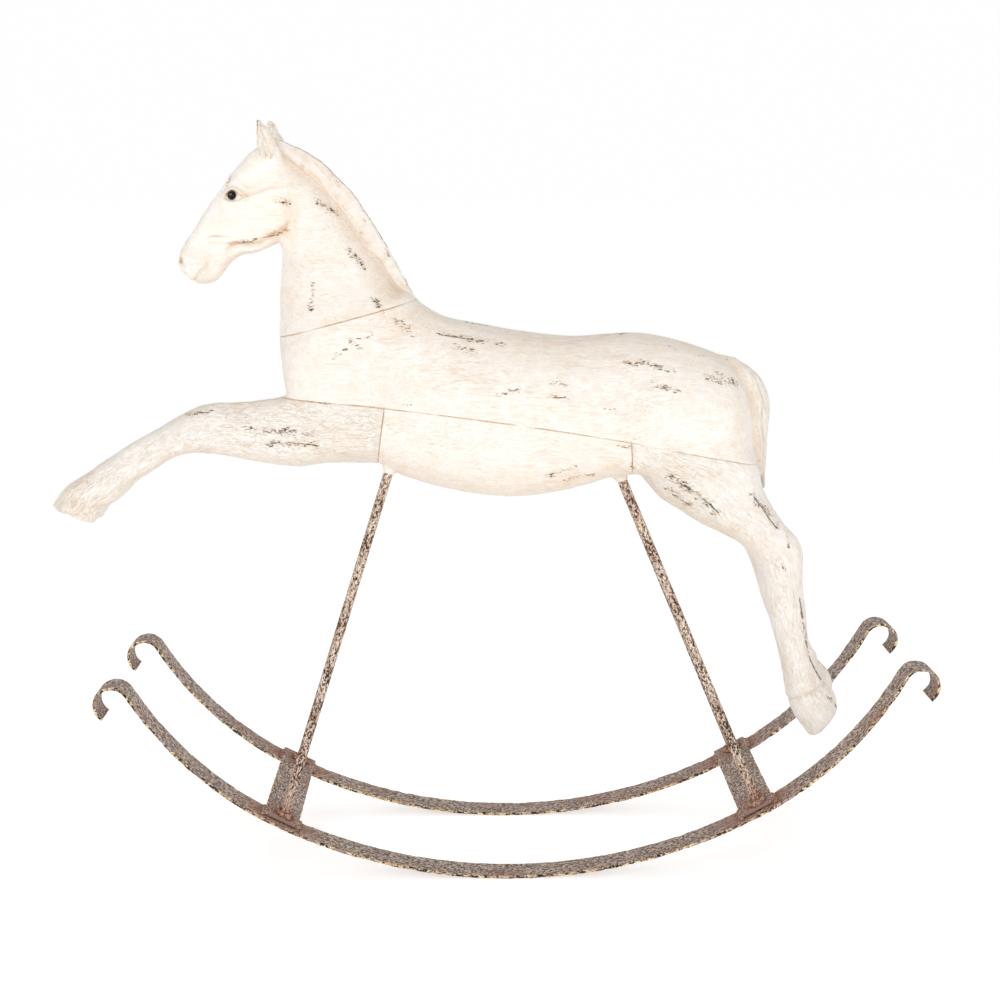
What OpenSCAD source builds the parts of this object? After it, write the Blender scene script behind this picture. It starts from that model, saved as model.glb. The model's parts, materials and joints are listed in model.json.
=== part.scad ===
// Decorative rocking horse: a jointed hardwood horse, glued up from carved blocks,
// standing on four steel rods over two flat-bar rockers with curled ends.
// Millimetres. +Z up. The horse faces -X, its left side faces -Y.
// Origin: on the floor, at the middle of the overall bounding box.

/* [Rockers] */
// Radius of the underside of each rocker over its middle stretch
rocker_r = 473; // [465:1:480]
// Radius of the underside toward each end
rocker_end_r = 331; // [326:1:336]
// Width of the flat bar
bar_w = 30; // [26:1:34]
// Thickness of the flat bar and of the cross plates
bar_t = 3; // [2.5:0.5:3]
// Distance between the outer edges of the two rockers
stand_w = 196; // [190:2:204]
// Outer radius of the curl at each rocker end
curl_r = 17; // [15:0.5:18]
// Where the underside touches the floor, along the length
rocker_x = 11; // [9:1:13]
// Roll of the stand about the rocker centre at rest
roll = 1.1; // [0:0.1:1.5]

/* [Cross plates] */
// Length of each cross plate along the rocker
plate_l = 34; // [32:1:38]
// Angle from the lowest point to each cross plate
plate_angle = 27.8; // [27.3:0.1:28.3]
// How far the plates stop short of the left rocker's outer edge
plate_inset = 8; // [6:1:10]

/* [Rods] */
// Diameter of the steel rods
rod_d = 9; // [8:0.5:9.5]
// Distance from the centre line to each rod foot
rod_foot_y = 80; // [76:1:84]
// Distance from the centre line to each rod top, inside the belly
rod_top_y = 16; // [14:1:18]

/* [Horse] */
// Extra half-width of the barrel
barrel_extra = 0; // [-3:1:3]
// Half-gap of a glue line between two blocks
glue = 0.15; // [0.15:0.05:0.3]
// Diameter of the joining dowels
dowel_d = 10; // [8:1:10]
// Diameter of the glass eyes
eye_d = 8.4; // [7.5:0.1:9]

/* [Hidden] */
$fn = 64;
cream = [0.93, 0.89, 0.81];
iron = [0.36, 0.33, 0.30];
rodc = [0.62, 0.56, 0.47];
pale_wood = [0.78, 0.62, 0.42];
clear = 0.2;                       // clearance of a rod or dowel in its hole, per side
rm1 = rocker_r - bar_t / 2;        // middle of the bar's thickness
rm2 = rocker_end_r - bar_t / 2;
rc = curl_r - bar_t / 2;
a1 = 27;                           // the end radius takes over here
a2 = 59.5;                         // and the curl here
a_tip = -56;                       // where the curl ends, round its own centre
rod_r = rod_d / 2;
yb = stand_w / 2 - bar_w / 2;      // centre line of each bar

// ---- points of the rocker, in its own plane, before the roll: centre of the arc at [0, rocker_r]
m1 = [0, rocker_r];
function dir(a) = [sin(a), -cos(a)];
m2 = m1 + (rm1 - rm2) * dir(a1);
m3 = m2 + (rm2 + rc) * dir(a2);
function rolled(p) = let(d = p - m1) [d[0] * cos(roll) - d[1] * sin(roll), d[0] * sin(roll) + d[1] * cos(roll)] + m1;
function on_bar(a) = abs(a) <= a1 ? m1 + rm1 * dir(a)
    : [sign(a) * (m2 + rm2 * dir(abs(a)))[0], (m2 + rm2 * dir(abs(a)))[1]];
lift = bar_t / 2 + 0.9;            // the plates stand on their welds just off the bar
function plate_mid(s) = let(p = rolled(on_bar(s * plate_angle)), n = -dir(s * plate_angle + roll))
    [p[0] + rocker_x, p[1]] + (lift + bar_t / 2) * n;
function plate_tilt(s) = s * plate_angle + roll;

// ---- rods: foot and top, for s = -1 (front) and 1 (rear), left side
function rod_foot(s) = let(p = plate_mid(s)) [p[0] + 1.5, -rod_foot_y, p[1] + 0.8 * s];
function rod_top(s) = s < 0 ? [-89, -rod_top_y, 396] : [102, -rod_top_y, 383];

// ---- seams
function belly_seam(x) = 432 - 0.07 * (x + 188) - 0.00017 * (x + 188) * (x + 188);
function neck_seam(x) = 487 + 0.27 * (x + 190);

// ---- smooth run through hand-set stations
function pick(s, i) = s[max(0, min(len(s) - 1, i))];
function blend(p0, p1, p2, p3, t) = 0.5 * (2 * p1 + (p2 - p0) * t + (2 * p0 - 5 * p1 + 4 * p2 - p3) * t * t
    + (3 * p1 - p0 - 3 * p2 + p3) * t * t * t);
function fine(s, k) = concat([for (i = [0 : len(s) - 2]) for (j = [0 : k - 1])
    blend(pick(s, i - 1), s[i], s[i + 1], pick(s, i + 2), j / k)], [s[len(s) - 1]]);

// ---- a section of the body: a chord from A to B in the plane of symmetry and a half-width.
// Station: [ax, az, bx, bz, y centre, half-width, height of the widest point 0..1, squareness at A, squareness at B]
function spow(v, p) = sign(v) * pow(abs(v), p);
function ring(s, n) = [for (i = [0 : n - 1]) let(a = 360 * (i + 0.5) / n, c = cos(a), e = c < 0 ? s[7] : s[8],
    u = spow(c, 2 / e), q = s[6] + (u < 0 ? u * s[6] : u * (1 - s[6])))
    [s[0] + (s[2] - s[0]) * q, s[4] + s[5] * spow(sin(a), 2 / e), s[1] + (s[3] - s[1]) * q]];
function mean(r) = [for (k = [0 : 2]) ([for (p = r) 1] * [for (p = r) p[k]]) / len(r)];
function below_neck(r) = [for (p = r) [p[0], p[1], min(p[2], neck_seam(p[0]) - glue)]];
function left_of_middle(r) = [for (p = r) [p[0], min(p[1], -glue), p[2]]];

// ---- skin through rings of equal length, ends closed with fans
function facing(r, to) = let(c = mean(r), n = len(r))
    [for (i = [0 : n - 1]) 1] * [for (i = [0 : n - 1]) cross(r[i] - c, r[(i + 1) % n] - c) * (to - c)];
module loft(rings) {
    n = len(rings[0]);
    m = len(rings);
    points = concat([for (r = rings) for (p = r) p], [mean(rings[0]), mean(rings[m - 1])]);
    sides = [for (j = [0 : m - 2]) for (i = [0 : n - 1]) let(a = j * n + i, b = j * n + (i + 1) % n)
        each [[a, b, b + n], [a, b + n, a + n]]];
    front = [for (i = [0 : n - 1]) [m * n, (i + 1) % n, i]];
    back = [for (i = [0 : n - 1]) [m * n + 1, (m - 1) * n + i, (m - 1) * n + (i + 1) % n]];
    faces = concat(sides, front, back);
    outward = facing(rings[0], mean(rings[1])) > 0;
    polyhedron(points, [for (f = faces) outward ? [f[2], f[1], f[0]] : f], convexity = 6);
}

// ---- stations: head and neck, from the neck seam up over the poll and down to the muzzle
neck_rows = [
    [-195, 486, -76, 518, 0, 46, 0.50, 2.2, 2.3], [-197, 503, -88, 531, 0, 40, 0.50, 2.2, 2.2],
    [-197, 522, -98, 547, 0, 34.5, 0.48, 2.2, 2.1], [-195, 543, -111, 566, 0, 30.5, 0.46, 2.2, 2.1],
    [-194, 557, -123, 584, 0, 28, 0.44, 2.2, 2.1], [-195, 565, -135, 601, 0, 26.5, 0.44, 2.2, 2.1],
    [-197, 569, -149, 617, 0, 26, 0.44, 2.2, 2.1], [-200, 570, -166, 634, 0, 26, 0.44, 2.3, 2.1],
    [-204, 569, -185, 646, 0, 26.5, 0.42, 2.4, 2.2], [-208, 567, -202, 655, 0, 26.5, 0.42, 2.5, 2.3],
    [-214, 564, -216, 653, 0, 26, 0.46, 2.5, 2.4], [-223, 561, -229, 641, 0, 25.5, 0.52, 2.4, 2.5],
    [-231, 558, -240, 627, 0, 23, 0.56, 2.3, 2.6], [-240, 552, -252, 612, 0, 19.5, 0.54, 2.3, 2.6],
    [-247, 543, -263, 597, 0, 16.5, 0.50, 2.3, 2.5], [-252, 537, -272, 583, 0, 15.5, 0.48, 2.3, 2.5],
    [-259, 533, -281, 570, 0, 16, 0.46, 2.4, 2.5], [-266, 532, -287, 559, 0, 15, 0.46, 2.4, 2.5],
    [-273, 534, -288, 551, 0, 12, 0.46, 2.3, 2.4], [-279, 539, -287, 546, 0, 6, 0.5, 2.2, 2.2]];

// ---- stations: trunk above the belly seam [x, top, half-width, bottom where it stands clear of the seam]
trunk_rows = [[-196.5, 493, 6, 478], [-194, 496, 22, 461], [-190, 500, 33, 446], [-185, 505, 40.5, 434], [-177, 514, 46, 0],
    [-160, 535, 50.5, 0], [-135, 545, 53.5, 0], [-108, 534, 56, 0], [-90, 526, 58, 0], [-75, 518, 60, 0], [-50, 503, 62, 0],
    [-20, 496, 64, 0], [20, 489, 65, 0], [66, 484, 65, 0], [100, 486, 65.5, 0], [125, 487, 67, 0], [150, 484, 69, 0],
    [180, 476, 69, 0], [203, 467, 64.5, 0], [216, 456, 56, 0], [226, 440, 44, 0], [231, 422, 30, 0], [234, 402, 16, 0]];
// ---- stations: belly below the seam [x at the bottom, bottom, x at the seam, half-width]
belly_rows = [[-109.6, 367, -101.4, 56.5], [-90, 358, -88, 58], [-60, 348, -60, 61.5], [-20, 340, -20, 64],
    [16, 337, 16, 65], [50, 341, 50, 65], [85, 350, 84, 65.2], [121.4, 361, 118.2, 66.6]];

// ---- stations: left foreleg, from the belly joint forward to the hoof
fore_rows = [
    [-110.2, 371, -102, 0, 0, 56.5, 0.62, 2.3, 7], [-130, 370, -124, 0, 0, 54.5, 0.62, 2.3, 7],
    [-152, 369, -148, 0, 0, 52, 0.62, 2.3, 7], [-172, 368, -170, 0, -3, 46, 0.62, 2.3, 6],
    [-190, 369, -183, 431, -24, 26, 0.55, 2.3, 4], [-212, 373, -204, 430, -31, 20, 0.52, 2.2, 2.4],
    [-240, 378.5, -236, 427.5, -33, 17.5, 0.50, 2.2, 2.2], [-264, 382, -257, 427, -33, 18, 0.5, 2.3, 2.3],
    [-282, 381, -278, 420, -33, 16, 0.5, 2.3, 2.3], [-296, 376, -304, 406, -33, 14, 0.5, 2.2, 2.2],
    [-314, 364.5, -330, 391, -33, 13, 0.5, 2.1, 2.1], [-330, 354, -347, 380, -33, 13.5, 0.5, 2.1, 2.1],
    [-340, 345, -361, 371, -33, 15, 0.5, 2.2, 2.2], [-348, 336, -376, 361, -33, 16, 0.5, 2.2, 2.2],
    [-356, 332, -392, 350, -33, 17, 0.5, 2.3, 2.3], [-366, 318.6, -402.7, 335.6, -33, 18.5, 0.5, 2.4, 2.4]];
// ---- stations: left hind leg, from the belly joint round the haunch and down to the hoof
hind_rows = [
    [122, 360, 118.9, 0, 0, 66.8, 0.62, 2.3, 7], [134, 352, 150, 0, 0, 69, 0.62, 2.3, 7],
    [147, 340, 190, 0, -3, 66.5, 0.6, 2.3, 6], [163, 329, 232, 0, -14, 54, 0.55, 2.3, 4],
    [185, 316, 241.5, 348, -25, 41.5, 0.5, 2.3, 2.6], [205, 307, 251, 331, -33, 31.5, 0.5, 2.3, 2.3],
    [220, 299, 262, 315, -38, 25.5, 0.5, 2.3, 2.3], [230, 289, 273, 303, -39, 23, 0.5, 2.3, 2.2],
    [238.5, 274, 278, 290, -39, 21.5, 0.5, 2.3, 2.2], [245.5, 252, 279, 258, -39, 19, 0.5, 2.2, 2.2],
    [250.5, 228, 283, 232, -39, 17, 0.5, 2.1, 2.1], [258, 203, 287, 207, -39, 17, 0.5, 2.1, 2.1],
    [263, 178, 294, 186, -39, 19, 0.5, 2.2, 2.2], [268, 155, 301, 169, -39, 19, 0.5, 2.2, 2.2],
    [276, 135, 311, 157, -39, 21, 0.5, 2.3, 2.3], [290, 117, 314, 145, -39, 21, 0.5, 2.4, 2.4]];
// ---- the right foreleg reaches a little further forward and lower than the left
function reach(rows, d) = [for (r = rows) let(e = d * max(0, min(1, (-176 - r[0]) / 40)))
    [r[0] - e, r[1] - e, r[2] - e, r[3] == 0 ? 0 : r[3] - e, r[4], r[5], r[6], r[7], r[8]]];
// ---- the right hoof swings back a little further than the left
function swing(rows, d, z0) = [for (r = rows) [for (k = [0 : 8])
    k == 0 ? r[0] + d * max(0, z0 - r[1]) / z0 : k == 2 && r[3] > 0 ? r[2] + d * max(0, z0 - r[3]) / z0 : r[k]]];

function seam_top(rows) = [for (r = rows) [for (k = [0 : 8]) k == 3 && r[3] == 0 ? belly_seam(r[2]) - glue : r[k]]];
trunk = [for (r = fine(trunk_rows, 2)) [r[0], max(r[3], belly_seam(r[0]) + glue), r[0], max(r[1], belly_seam(r[0]) + 3), 0,
    r[2] + barrel_extra, 0.3, 9, 2.2]];
belly_s = [for (r = fine(belly_rows, 2)) [r[0], r[1], r[2], belly_seam(r[2]) - glue, 0, r[3] + barrel_extra, 0.62, 2.3, 9]];

// ---- mane: a ridge standing on a flat along the crest of the neck [station number of the neck, height, half-width]
mane_land = 0.975;                 // the crest is planed flat at this share of the chord
mane_rows = [[0.3, 6, 6], [1, 9, 8], [2, 10.5, 9], [3, 12, 9.5], [4, 12.5, 9.5], [5, 13, 9.5], [6, 13, 9.5], [7, 12.5, 9],
    [8, 11.5, 8], [9, 9, 6.5], [9.6, 4, 4]];
function row_at(f) = let(i = floor(f), t = f - i) neck_rows[i] * (1 - t) + pick(neck_rows, i + 1) * t;
function planed(s, n) = [for (p = ring(s, n)) let(a = [s[0], s[1]], d = [s[2] - s[0], s[3] - s[1]], l = d * d,
    q = ([p[0], p[2]] - a) * d / l, c = min(q, mane_land)) [a[0] + d[0] * c, p[1], a[1] + d[1] * c]];
function mane_ring(r, n) = let(s = row_at(r[0]), a = [s[0], s[1]], d = [s[2] - s[0], s[3] - s[1]], e = d / norm(d),
    b = a + d * mane_land + e * 0.25, u = e * r[1])
    [for (i = [0 : n - 1]) let(t = 360 * (i + 0.5) / n, c = cos(t), h = c < 0 ? 0.35 + 0.35 * spow(c, 0.3) : 0.35 + 0.65 * spow(c, 0.8))
        [b[0] + u[0] * h, r[2] * spow(sin(t), 0.7), b[1] + u[1] * h]];

// ---- tail [inner x, inner z, outer x, outer z, half-width]
tail_rows = [[213.5, 462.5, 220, 466, 8], [220.5, 453, 233, 457, 13], [228.5, 439, 244, 443, 16], [233.4, 421, 250.5, 423, 18],
    [236, 400, 250.5, 401, 18], [239.2, 378, 249, 379, 15], [243, 358, 248.5, 358, 10], [246.5, 344, 249, 344, 5]];
tail_s = [for (r = fine(tail_rows, 2)) [r[0], r[1], r[2], r[3], 0, r[4], 0.5, 3, 2.2]];

eye_at = [-236, -23.6, 611.5];
// the left ear is pricked further forward than the right (m = 0 left, 1 right)
function ear_at(m) = [m == 0 ? -205 : -200, -15, m == 0 ? 650 : 653];
function ear_lean(m) = m == 0 ? -20 : -6;

// ---- helpers
// the whole horse is laid out from the middle of its barrel, then moved so that the overall length is centred
x_curl = rocker_x + rolled(m3)[0] + curl_r;
x_hoof = -410.6;
module placed() { translate([-(x_curl + x_hoof) / 2, 0, 0]) children(); }
module right() { mirror([0, 1, 0]) children(); }
// a cylinder from a to b
module bar_between(a, b, r) {
    v = b - a;
    translate(a) rotate([0, acos(v[2] / norm(v)), atan2(v[1], v[0])]) cylinder(h = norm(v), r = r);
}
module dowel(at, tilt, half, r) { translate(at) rotate([0, tilt, 0]) translate([0, 0, -half]) cylinder(h = 2 * half, r = r); }

// where the dowels go [position, tilt, half-length]
neck_dowel_list = [for (x = [-160, -112]) [[x, 0, neck_seam(x)], -15.1, 28]];
fore_dowel_list = [for (x = [-160, -124]) [[x, -33, belly_seam(x)], 0, 24]];
hind_dowel_list = [for (x = [162, 204]) [[x, -30, belly_seam(x)], 0, 24]];
belly_dowel_list = [for (x = [-45, 50]) [[x, 0, belly_seam(x)], 0, 24]];
module dowels(list, extra) { for (d = list) dowel(d[0], d[1], d[2] + extra * 3, dowel_d / 2 + extra); }

// ---- horse
module head_neck() {
    color(cream) placed() difference() {
        loft([for (s = fine(neck_rows, 2)) planed(s, 28)]);
        dowels(neck_dowel_list, clear);
        for (m = [0, 1]) mirror([0, m, 0]) {
            translate(eye_at) sphere(d = eye_d + 0.6);
            translate(ear_at(m)) rotate([16, ear_lean(m), 0]) translate([0, 0, -9]) cylinder(h = 20, r = 2.2);
        }
    }
}
module torso() {
    color(cream) placed() difference() {
        loft([for (s = trunk) below_neck(ring(s, 28))]);
        dowels(neck_dowel_list, clear);
        dowels(belly_dowel_list, clear);
        for (m = [0, 1]) mirror([0, m, 0]) {
            dowels(fore_dowel_list, clear);
            dowels(hind_dowel_list, clear);
        }
        translate([215, 0, 430]) rotate([0, 90, 0]) cylinder(h = 40, r = 4 + clear);
    }
}
module belly() {
    color(cream) placed() difference() {
        loft([for (s = belly_s) ring(s, 28)]);
        dowels(belly_dowel_list, clear);
        for (m = [0, 1]) mirror([0, m, 0]) for (s = [-1, 1]) {
            v = (rod_top(s) - rod_foot(s)) / norm(rod_top(s) - rod_foot(s));
            bar_between(rod_foot(s) + 200 * v, rod_top(s) + v, rod_r + clear);
        }
    }
}
module foreleg(forward) {
    color(cream) placed() difference() {
        loft([for (s = fine(seam_top(reach(fore_rows, forward)), 2)) left_of_middle(ring(s, 24))]);
        dowels(fore_dowel_list, clear);
    }
}
module left_foreleg() { foreleg(0); }
module right_foreleg() { right() foreleg(8); }
module hind_leg(back) {
    color(cream) placed() difference() {
        loft([for (s = fine(seam_top(swing(hind_rows, back, 290)), 2)) left_of_middle(ring(s, 24))]);
        dowels(hind_dowel_list, clear);
    }
}
module left_hind_leg() { hind_leg(0); }
module right_hind_leg() { right() hind_leg(22); }
module mane() { color(cream) placed() loft([for (r = fine(mane_rows, 2)) mane_ring(r, 16)]); }
module tail() {
    color(cream) placed() difference() {
        loft([for (s = tail_s) ring(s, 20)]);
        translate([215, 0, 430]) rotate([0, 90, 0]) cylinder(h = 27.5, r = 4 + clear);
    }
}
// an ear: a peg, a broad base and a pricked tip, hollowed a little in front
module ear(m) {
    color(cream) placed() translate(ear_at(m)) rotate([16, ear_lean(m), 0]) {
        translate([0, 0, -8]) cylinder(h = 12, r = 2);
        difference() {
            hull() {
                translate([0, 0, 4.5]) scale([1.15, 0.8, 1]) sphere(r = 5.2, $fn = 24);
                translate([-1, 0, 11]) scale([1.1, 0.75, 1]) sphere(r = 4.6, $fn = 24);
                translate([-4, 0, 25.5]) sphere(r = 1.1, $fn = 24);
            }
            translate([-9.5, -1, 15]) rotate([0, -14, 0]) scale([1, 0.5, 1.5]) sphere(r = 6.2);
        }
    }
}
module left_ear() { ear(0); }
module right_ear() { right() ear(1); }
module left_eye() { color([0.03, 0.03, 0.03]) placed() translate(eye_at) sphere(d = eye_d); }
module right_eye() { right() left_eye(); }

// ---- joinery
module neck_dowels() { color(pale_wood) placed() dowels(neck_dowel_list, 0); }
module left_foreleg_dowels() { color(pale_wood) placed() dowels(fore_dowel_list, 0); }
module right_foreleg_dowels() { right() left_foreleg_dowels(); }
module left_hind_dowels() { color(pale_wood) placed() dowels(hind_dowel_list, 0); }
module right_hind_dowels() { right() left_hind_dowels(); }
module belly_dowels() { color(pale_wood) placed() dowels(belly_dowel_list, 0); }
module tail_peg() { color(pale_wood) placed() translate([215.5, 0, 430]) rotate([0, 90, 0]) cylinder(h = 26.5, r = 4); }

// ---- stand
// a piece of flat bar bent round a centre c in the rocker's plane, from angle a to b
module bend(c, r, a, b) {
    translate(c) rotate(a) rotate_extrude(angle = b - a, $fn = 180) translate([r - bar_t / 2, -bar_w / 2]) square([bar_t, bar_w]);
}
// the bar runs on from one bend into the next through this short stretch
module run_on(p, a) { translate(p) rotate(a) cube([1.2, bar_t + 0.04, bar_w + 0.04], center = true); }
module rocker_half() {
    bend(m2, rm2, a1 - 90, a2 - 90);
    bend(m3, rc, a_tip, 90 + a2);
    run_on(m1 + rm1 * dir(a1), a1);
    run_on(m2 + rm2 * dir(a2), a2);
}
module rocker(y) {
    color(iron) placed() translate([rocker_x, y, 0]) rotate([90, 0, 0]) translate(m1) rotate(roll) translate(-m1) {
        bend(m1, rm1, -90 - a1, a1 - 90);
        rocker_half();
        mirror([1, 0, 0]) rocker_half();
    }
}
module left_rocker() { rocker(-yb); }
module right_rocker() { rocker(yb); }

module on_plate(s) { p = plate_mid(s); translate([p[0], 0, p[1]]) rotate([0, -plate_tilt(s), 0]) children(); }
module cross_plate(s) {
    color(iron) placed() on_plate(s) translate([-plate_l / 2, -stand_w / 2 + plate_inset, -bar_t / 2])
        cube([plate_l, stand_w - plate_inset, bar_t]);
}
module front_cross_plate() { cross_plate(-1); }
module rear_cross_plate() { cross_plate(1); }

// everything above the top face of a cross plate
module above_plate(s) { on_plate(s) translate([-200, -150, bar_t / 2 + 0.05]) cube([400, 300, 420]); }
module rod(s) {
    a = rod_foot(s);
    b = rod_top(s);
    v = (b - a) / norm(b - a);
    color(rodc) placed() intersection() {
        bar_between(a - 6 * v, b, rod_r);
        above_plate(s);
    }
}
module front_left_rod() { rod(-1); }
module front_right_rod() { right() rod(-1); }
module rear_left_rod() { rod(1); }
module rear_right_rod() { right() rod(1); }

// a bead of weld round a rod's foot
module foot_bead(s) {
    a = rod_foot(s);
    v = (rod_top(s) - a) / norm(rod_top(s) - a);
    intersection() {
        difference() {
            translate(a) rotate([0, acos(v[2]), atan2(v[1], v[0])]) translate([0, 0, -4]) cylinder(h = 11, r1 = rod_r + 5.5, r2 = rod_r + 0.6);
            bar_between(a - 12 * v, a + 30 * v, rod_r + 0.1);
        }
        above_plate(s);
    }
}
module rod_foot_welds() {
    color(iron) placed() for (m = [0, 1]) mirror([0, m, 0]) for (s = [-1, 1]) foot_bead(s);
}
// beads along both edges of each plate, over the two bars
module plate_welds() {
    color(iron) placed() for (s = [-1, 1]) for (e = [-1, 1]) for (y = [-1, 1]) difference() {
        on_plate(s) translate([e * (plate_l / 2 + 0.9), y * (yb - 1) - 12, -bar_t / 2 - 0.6]) rotate([-90, 0, 0]) cylinder(h = 24, r = 1.9, $fn = 24);
        on_plate(s) translate([-plate_l / 2 - 0.05, -stand_w / 2 + plate_inset - 0.05, -bar_t / 2 - 0.05])
            cube([plate_l + 0.1, stand_w - plate_inset + 0.1, bar_t + 0.1]);
        on_plate(s) translate([-40, -120, -20 - bar_t / 2 - 1.05]) cube([80, 240, 20]);
    }
}

head_neck();
torso();
belly();
left_foreleg();
right_foreleg();
left_hind_leg();
right_hind_leg();
mane();
tail();
left_ear();
right_ear();
left_eye();
right_eye();
neck_dowels();
left_foreleg_dowels();
right_foreleg_dowels();
left_hind_dowels();
right_hind_dowels();
belly_dowels();
tail_peg();
left_rocker();
right_rocker();
front_cross_plate();
rear_cross_plate();
front_left_rod();
front_right_rod();
rear_left_rod();
rear_right_rod();
rod_foot_welds();
plate_welds();
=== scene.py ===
"""Looks of the rocking horse: the carved blocks, mane, tail, ears, eyes and the iron stand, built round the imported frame."""

import json
import math
import time

import bmesh
import bpy
import numpy as np
import openvdb
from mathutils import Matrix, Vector

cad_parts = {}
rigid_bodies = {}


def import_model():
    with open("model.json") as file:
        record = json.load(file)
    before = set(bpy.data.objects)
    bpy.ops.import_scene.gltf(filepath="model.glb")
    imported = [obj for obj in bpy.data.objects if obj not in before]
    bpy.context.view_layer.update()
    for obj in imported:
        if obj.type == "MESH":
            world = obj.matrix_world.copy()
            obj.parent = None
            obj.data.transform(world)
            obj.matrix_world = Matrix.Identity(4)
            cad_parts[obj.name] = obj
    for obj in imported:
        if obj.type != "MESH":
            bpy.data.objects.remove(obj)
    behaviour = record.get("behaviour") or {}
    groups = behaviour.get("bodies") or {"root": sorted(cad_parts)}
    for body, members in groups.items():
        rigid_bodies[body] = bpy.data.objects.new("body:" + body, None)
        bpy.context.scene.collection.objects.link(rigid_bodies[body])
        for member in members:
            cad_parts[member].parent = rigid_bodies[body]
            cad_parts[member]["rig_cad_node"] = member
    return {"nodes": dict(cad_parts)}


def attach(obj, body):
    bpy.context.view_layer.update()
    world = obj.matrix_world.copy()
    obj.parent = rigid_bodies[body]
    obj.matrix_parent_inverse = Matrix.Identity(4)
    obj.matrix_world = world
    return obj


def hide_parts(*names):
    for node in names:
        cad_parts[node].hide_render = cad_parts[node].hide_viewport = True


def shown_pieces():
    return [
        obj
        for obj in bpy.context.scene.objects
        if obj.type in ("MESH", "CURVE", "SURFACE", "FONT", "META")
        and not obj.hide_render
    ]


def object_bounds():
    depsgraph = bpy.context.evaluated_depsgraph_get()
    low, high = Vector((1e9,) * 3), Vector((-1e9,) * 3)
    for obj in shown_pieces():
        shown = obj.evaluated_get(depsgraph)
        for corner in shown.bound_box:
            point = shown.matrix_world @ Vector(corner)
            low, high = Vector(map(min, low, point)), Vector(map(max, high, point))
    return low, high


T0 = time.time()


def tick(what):
    print(f"{what}: {time.time() - T0:.1f} s")


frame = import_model()
cad_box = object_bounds()
DX = 7.575  # the drawing below is in mm from the middle of the barrel; the frame is this far along X
FINE = 1.0  # voxel scale

# ------------------------------------------------------------------ stations of the carved body, in mm
# [ax, az, bx, bz, y centre, half-width, height of the widest point, squareness at A, squareness at B]
NECK = [[-195, 466, -76, 500, 0, 47, .50, 2.2, 2.3], [-195, 486, -76, 518, 0, 46, .50, 2.2, 2.3],
        [-197, 503, -88, 531, 0, 40, .50, 2.2, 2.2], [-197, 522, -98, 547, 0, 34.5, .48, 2.2, 2.1],
        [-195, 543, -111, 566, 0, 30.5, .46, 2.2, 2.1], [-194, 557, -123, 584, 0, 28, .44, 2.2, 2.1],
        [-195, 565, -135, 601, 0, 26.5, .44, 2.2, 2.1], [-197, 569, -149, 617, 0, 26, .44, 2.2, 2.1],
        [-200, 568.4, -166, 634, 0, 26, .44, 2.3, 2.1], [-204, 566.2, -185, 646, 0, 26.5, .42, 2.4, 2.2],
        [-208, 564.2, -202, 655, 0, 26.5, .42, 2.5, 2.3], [-214, 561.6, -216, 653, 0, 26, .46, 2.5, 2.4],
        [-223, 559.4, -229, 641, 0, 25.5, .52, 2.4, 2.5], [-231, 558, -240, 627, 0, 23, .56, 2.3, 2.6],
        [-240, 552, -252, 612, 0, 19.5, .54, 2.3, 2.6], [-247, 543, -263, 597, 0, 16.5, .50, 2.3, 2.5],
        [-252, 537, -272, 583, 0, 15.5, .48, 2.3, 2.5], [-259, 533, -281, 570, 0, 16, .46, 2.4, 2.5],
        [-266, 532, -287, 559, 0, 15, .46, 2.4, 2.5], [-273, 534, -288, 551, 0, 12, .46, 2.3, 2.4],
        [-279, 539, -287, 546, 0, 6, .5, 2.2, 2.2]]
# [x, top, half-width, bottom]: the trunk, chest to rump, widest at the long glue line
TRUNK = [[-196.5, 493, 6, 474], [-194, 496, 22, 452], [-190, 500, 33, 436], [-185, 505, 40.5, 420],
         [-177, 514, 46, 400], [-168, 526, 48.5, 384], [-160, 535, 50.5, 373], [-135, 545, 53.5, 369], [-108, 534, 56, 368],
         [-90, 526, 58, 358], [-75, 518, 60, 353], [-50, 503, 62, 346], [-20, 496, 64, 340], [20, 489, 65, 337.5],
         [66, 484, 65, 344], [100, 486, 65.5, 354.5], [125, 487, 67, 361], [150, 484, 69, 366], [180, 476, 69, 368],
         [203, 467, 64.5, 367], [216, 456, 56, 366], [226, 440, 44, 367], [231, 422, 30, 369], [234, 406, 16, 376]]
FORE = [[-128, 380, -118, 414, -6, 30, .60, 2.3, 2.6], [-150, 373, -144, 421, -12, 36, .60, 2.3, 3.2],
        [-172, 368.6, -170, 428, -19, 31, .60, 2.3, 4.0], [-190, 369, -183, 431, -24, 26, .55, 2.3, 3.6],
        [-212, 373, -204, 430, -31, 20, .52, 2.2, 2.4], [-240, 378.5, -236, 427.5, -33, 17.5, .50, 2.2, 2.2],
        [-264, 382, -257, 427, -33, 18, .5, 2.3, 2.3], [-282, 381, -278, 420, -33, 16, .5, 2.3, 2.3],
        [-296, 376, -304, 406, -33, 14, .5, 2.2, 2.2], [-314, 364.5, -330, 391, -33, 13, .5, 2.1, 2.1],
        [-330, 354, -347, 380, -33, 13.5, .5, 2.1, 2.1], [-340, 345, -361, 371, -33, 15, .5, 2.2, 2.2],
        [-348, 336, -376, 361, -33, 16, .5, 2.2, 2.2], [-356, 332, -392, 350, -33, 17, .5, 2.3, 2.3],
        [-366, 318.6, -402.7, 335.6, -33, 18.5, .5, 2.4, 2.4]]
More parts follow.
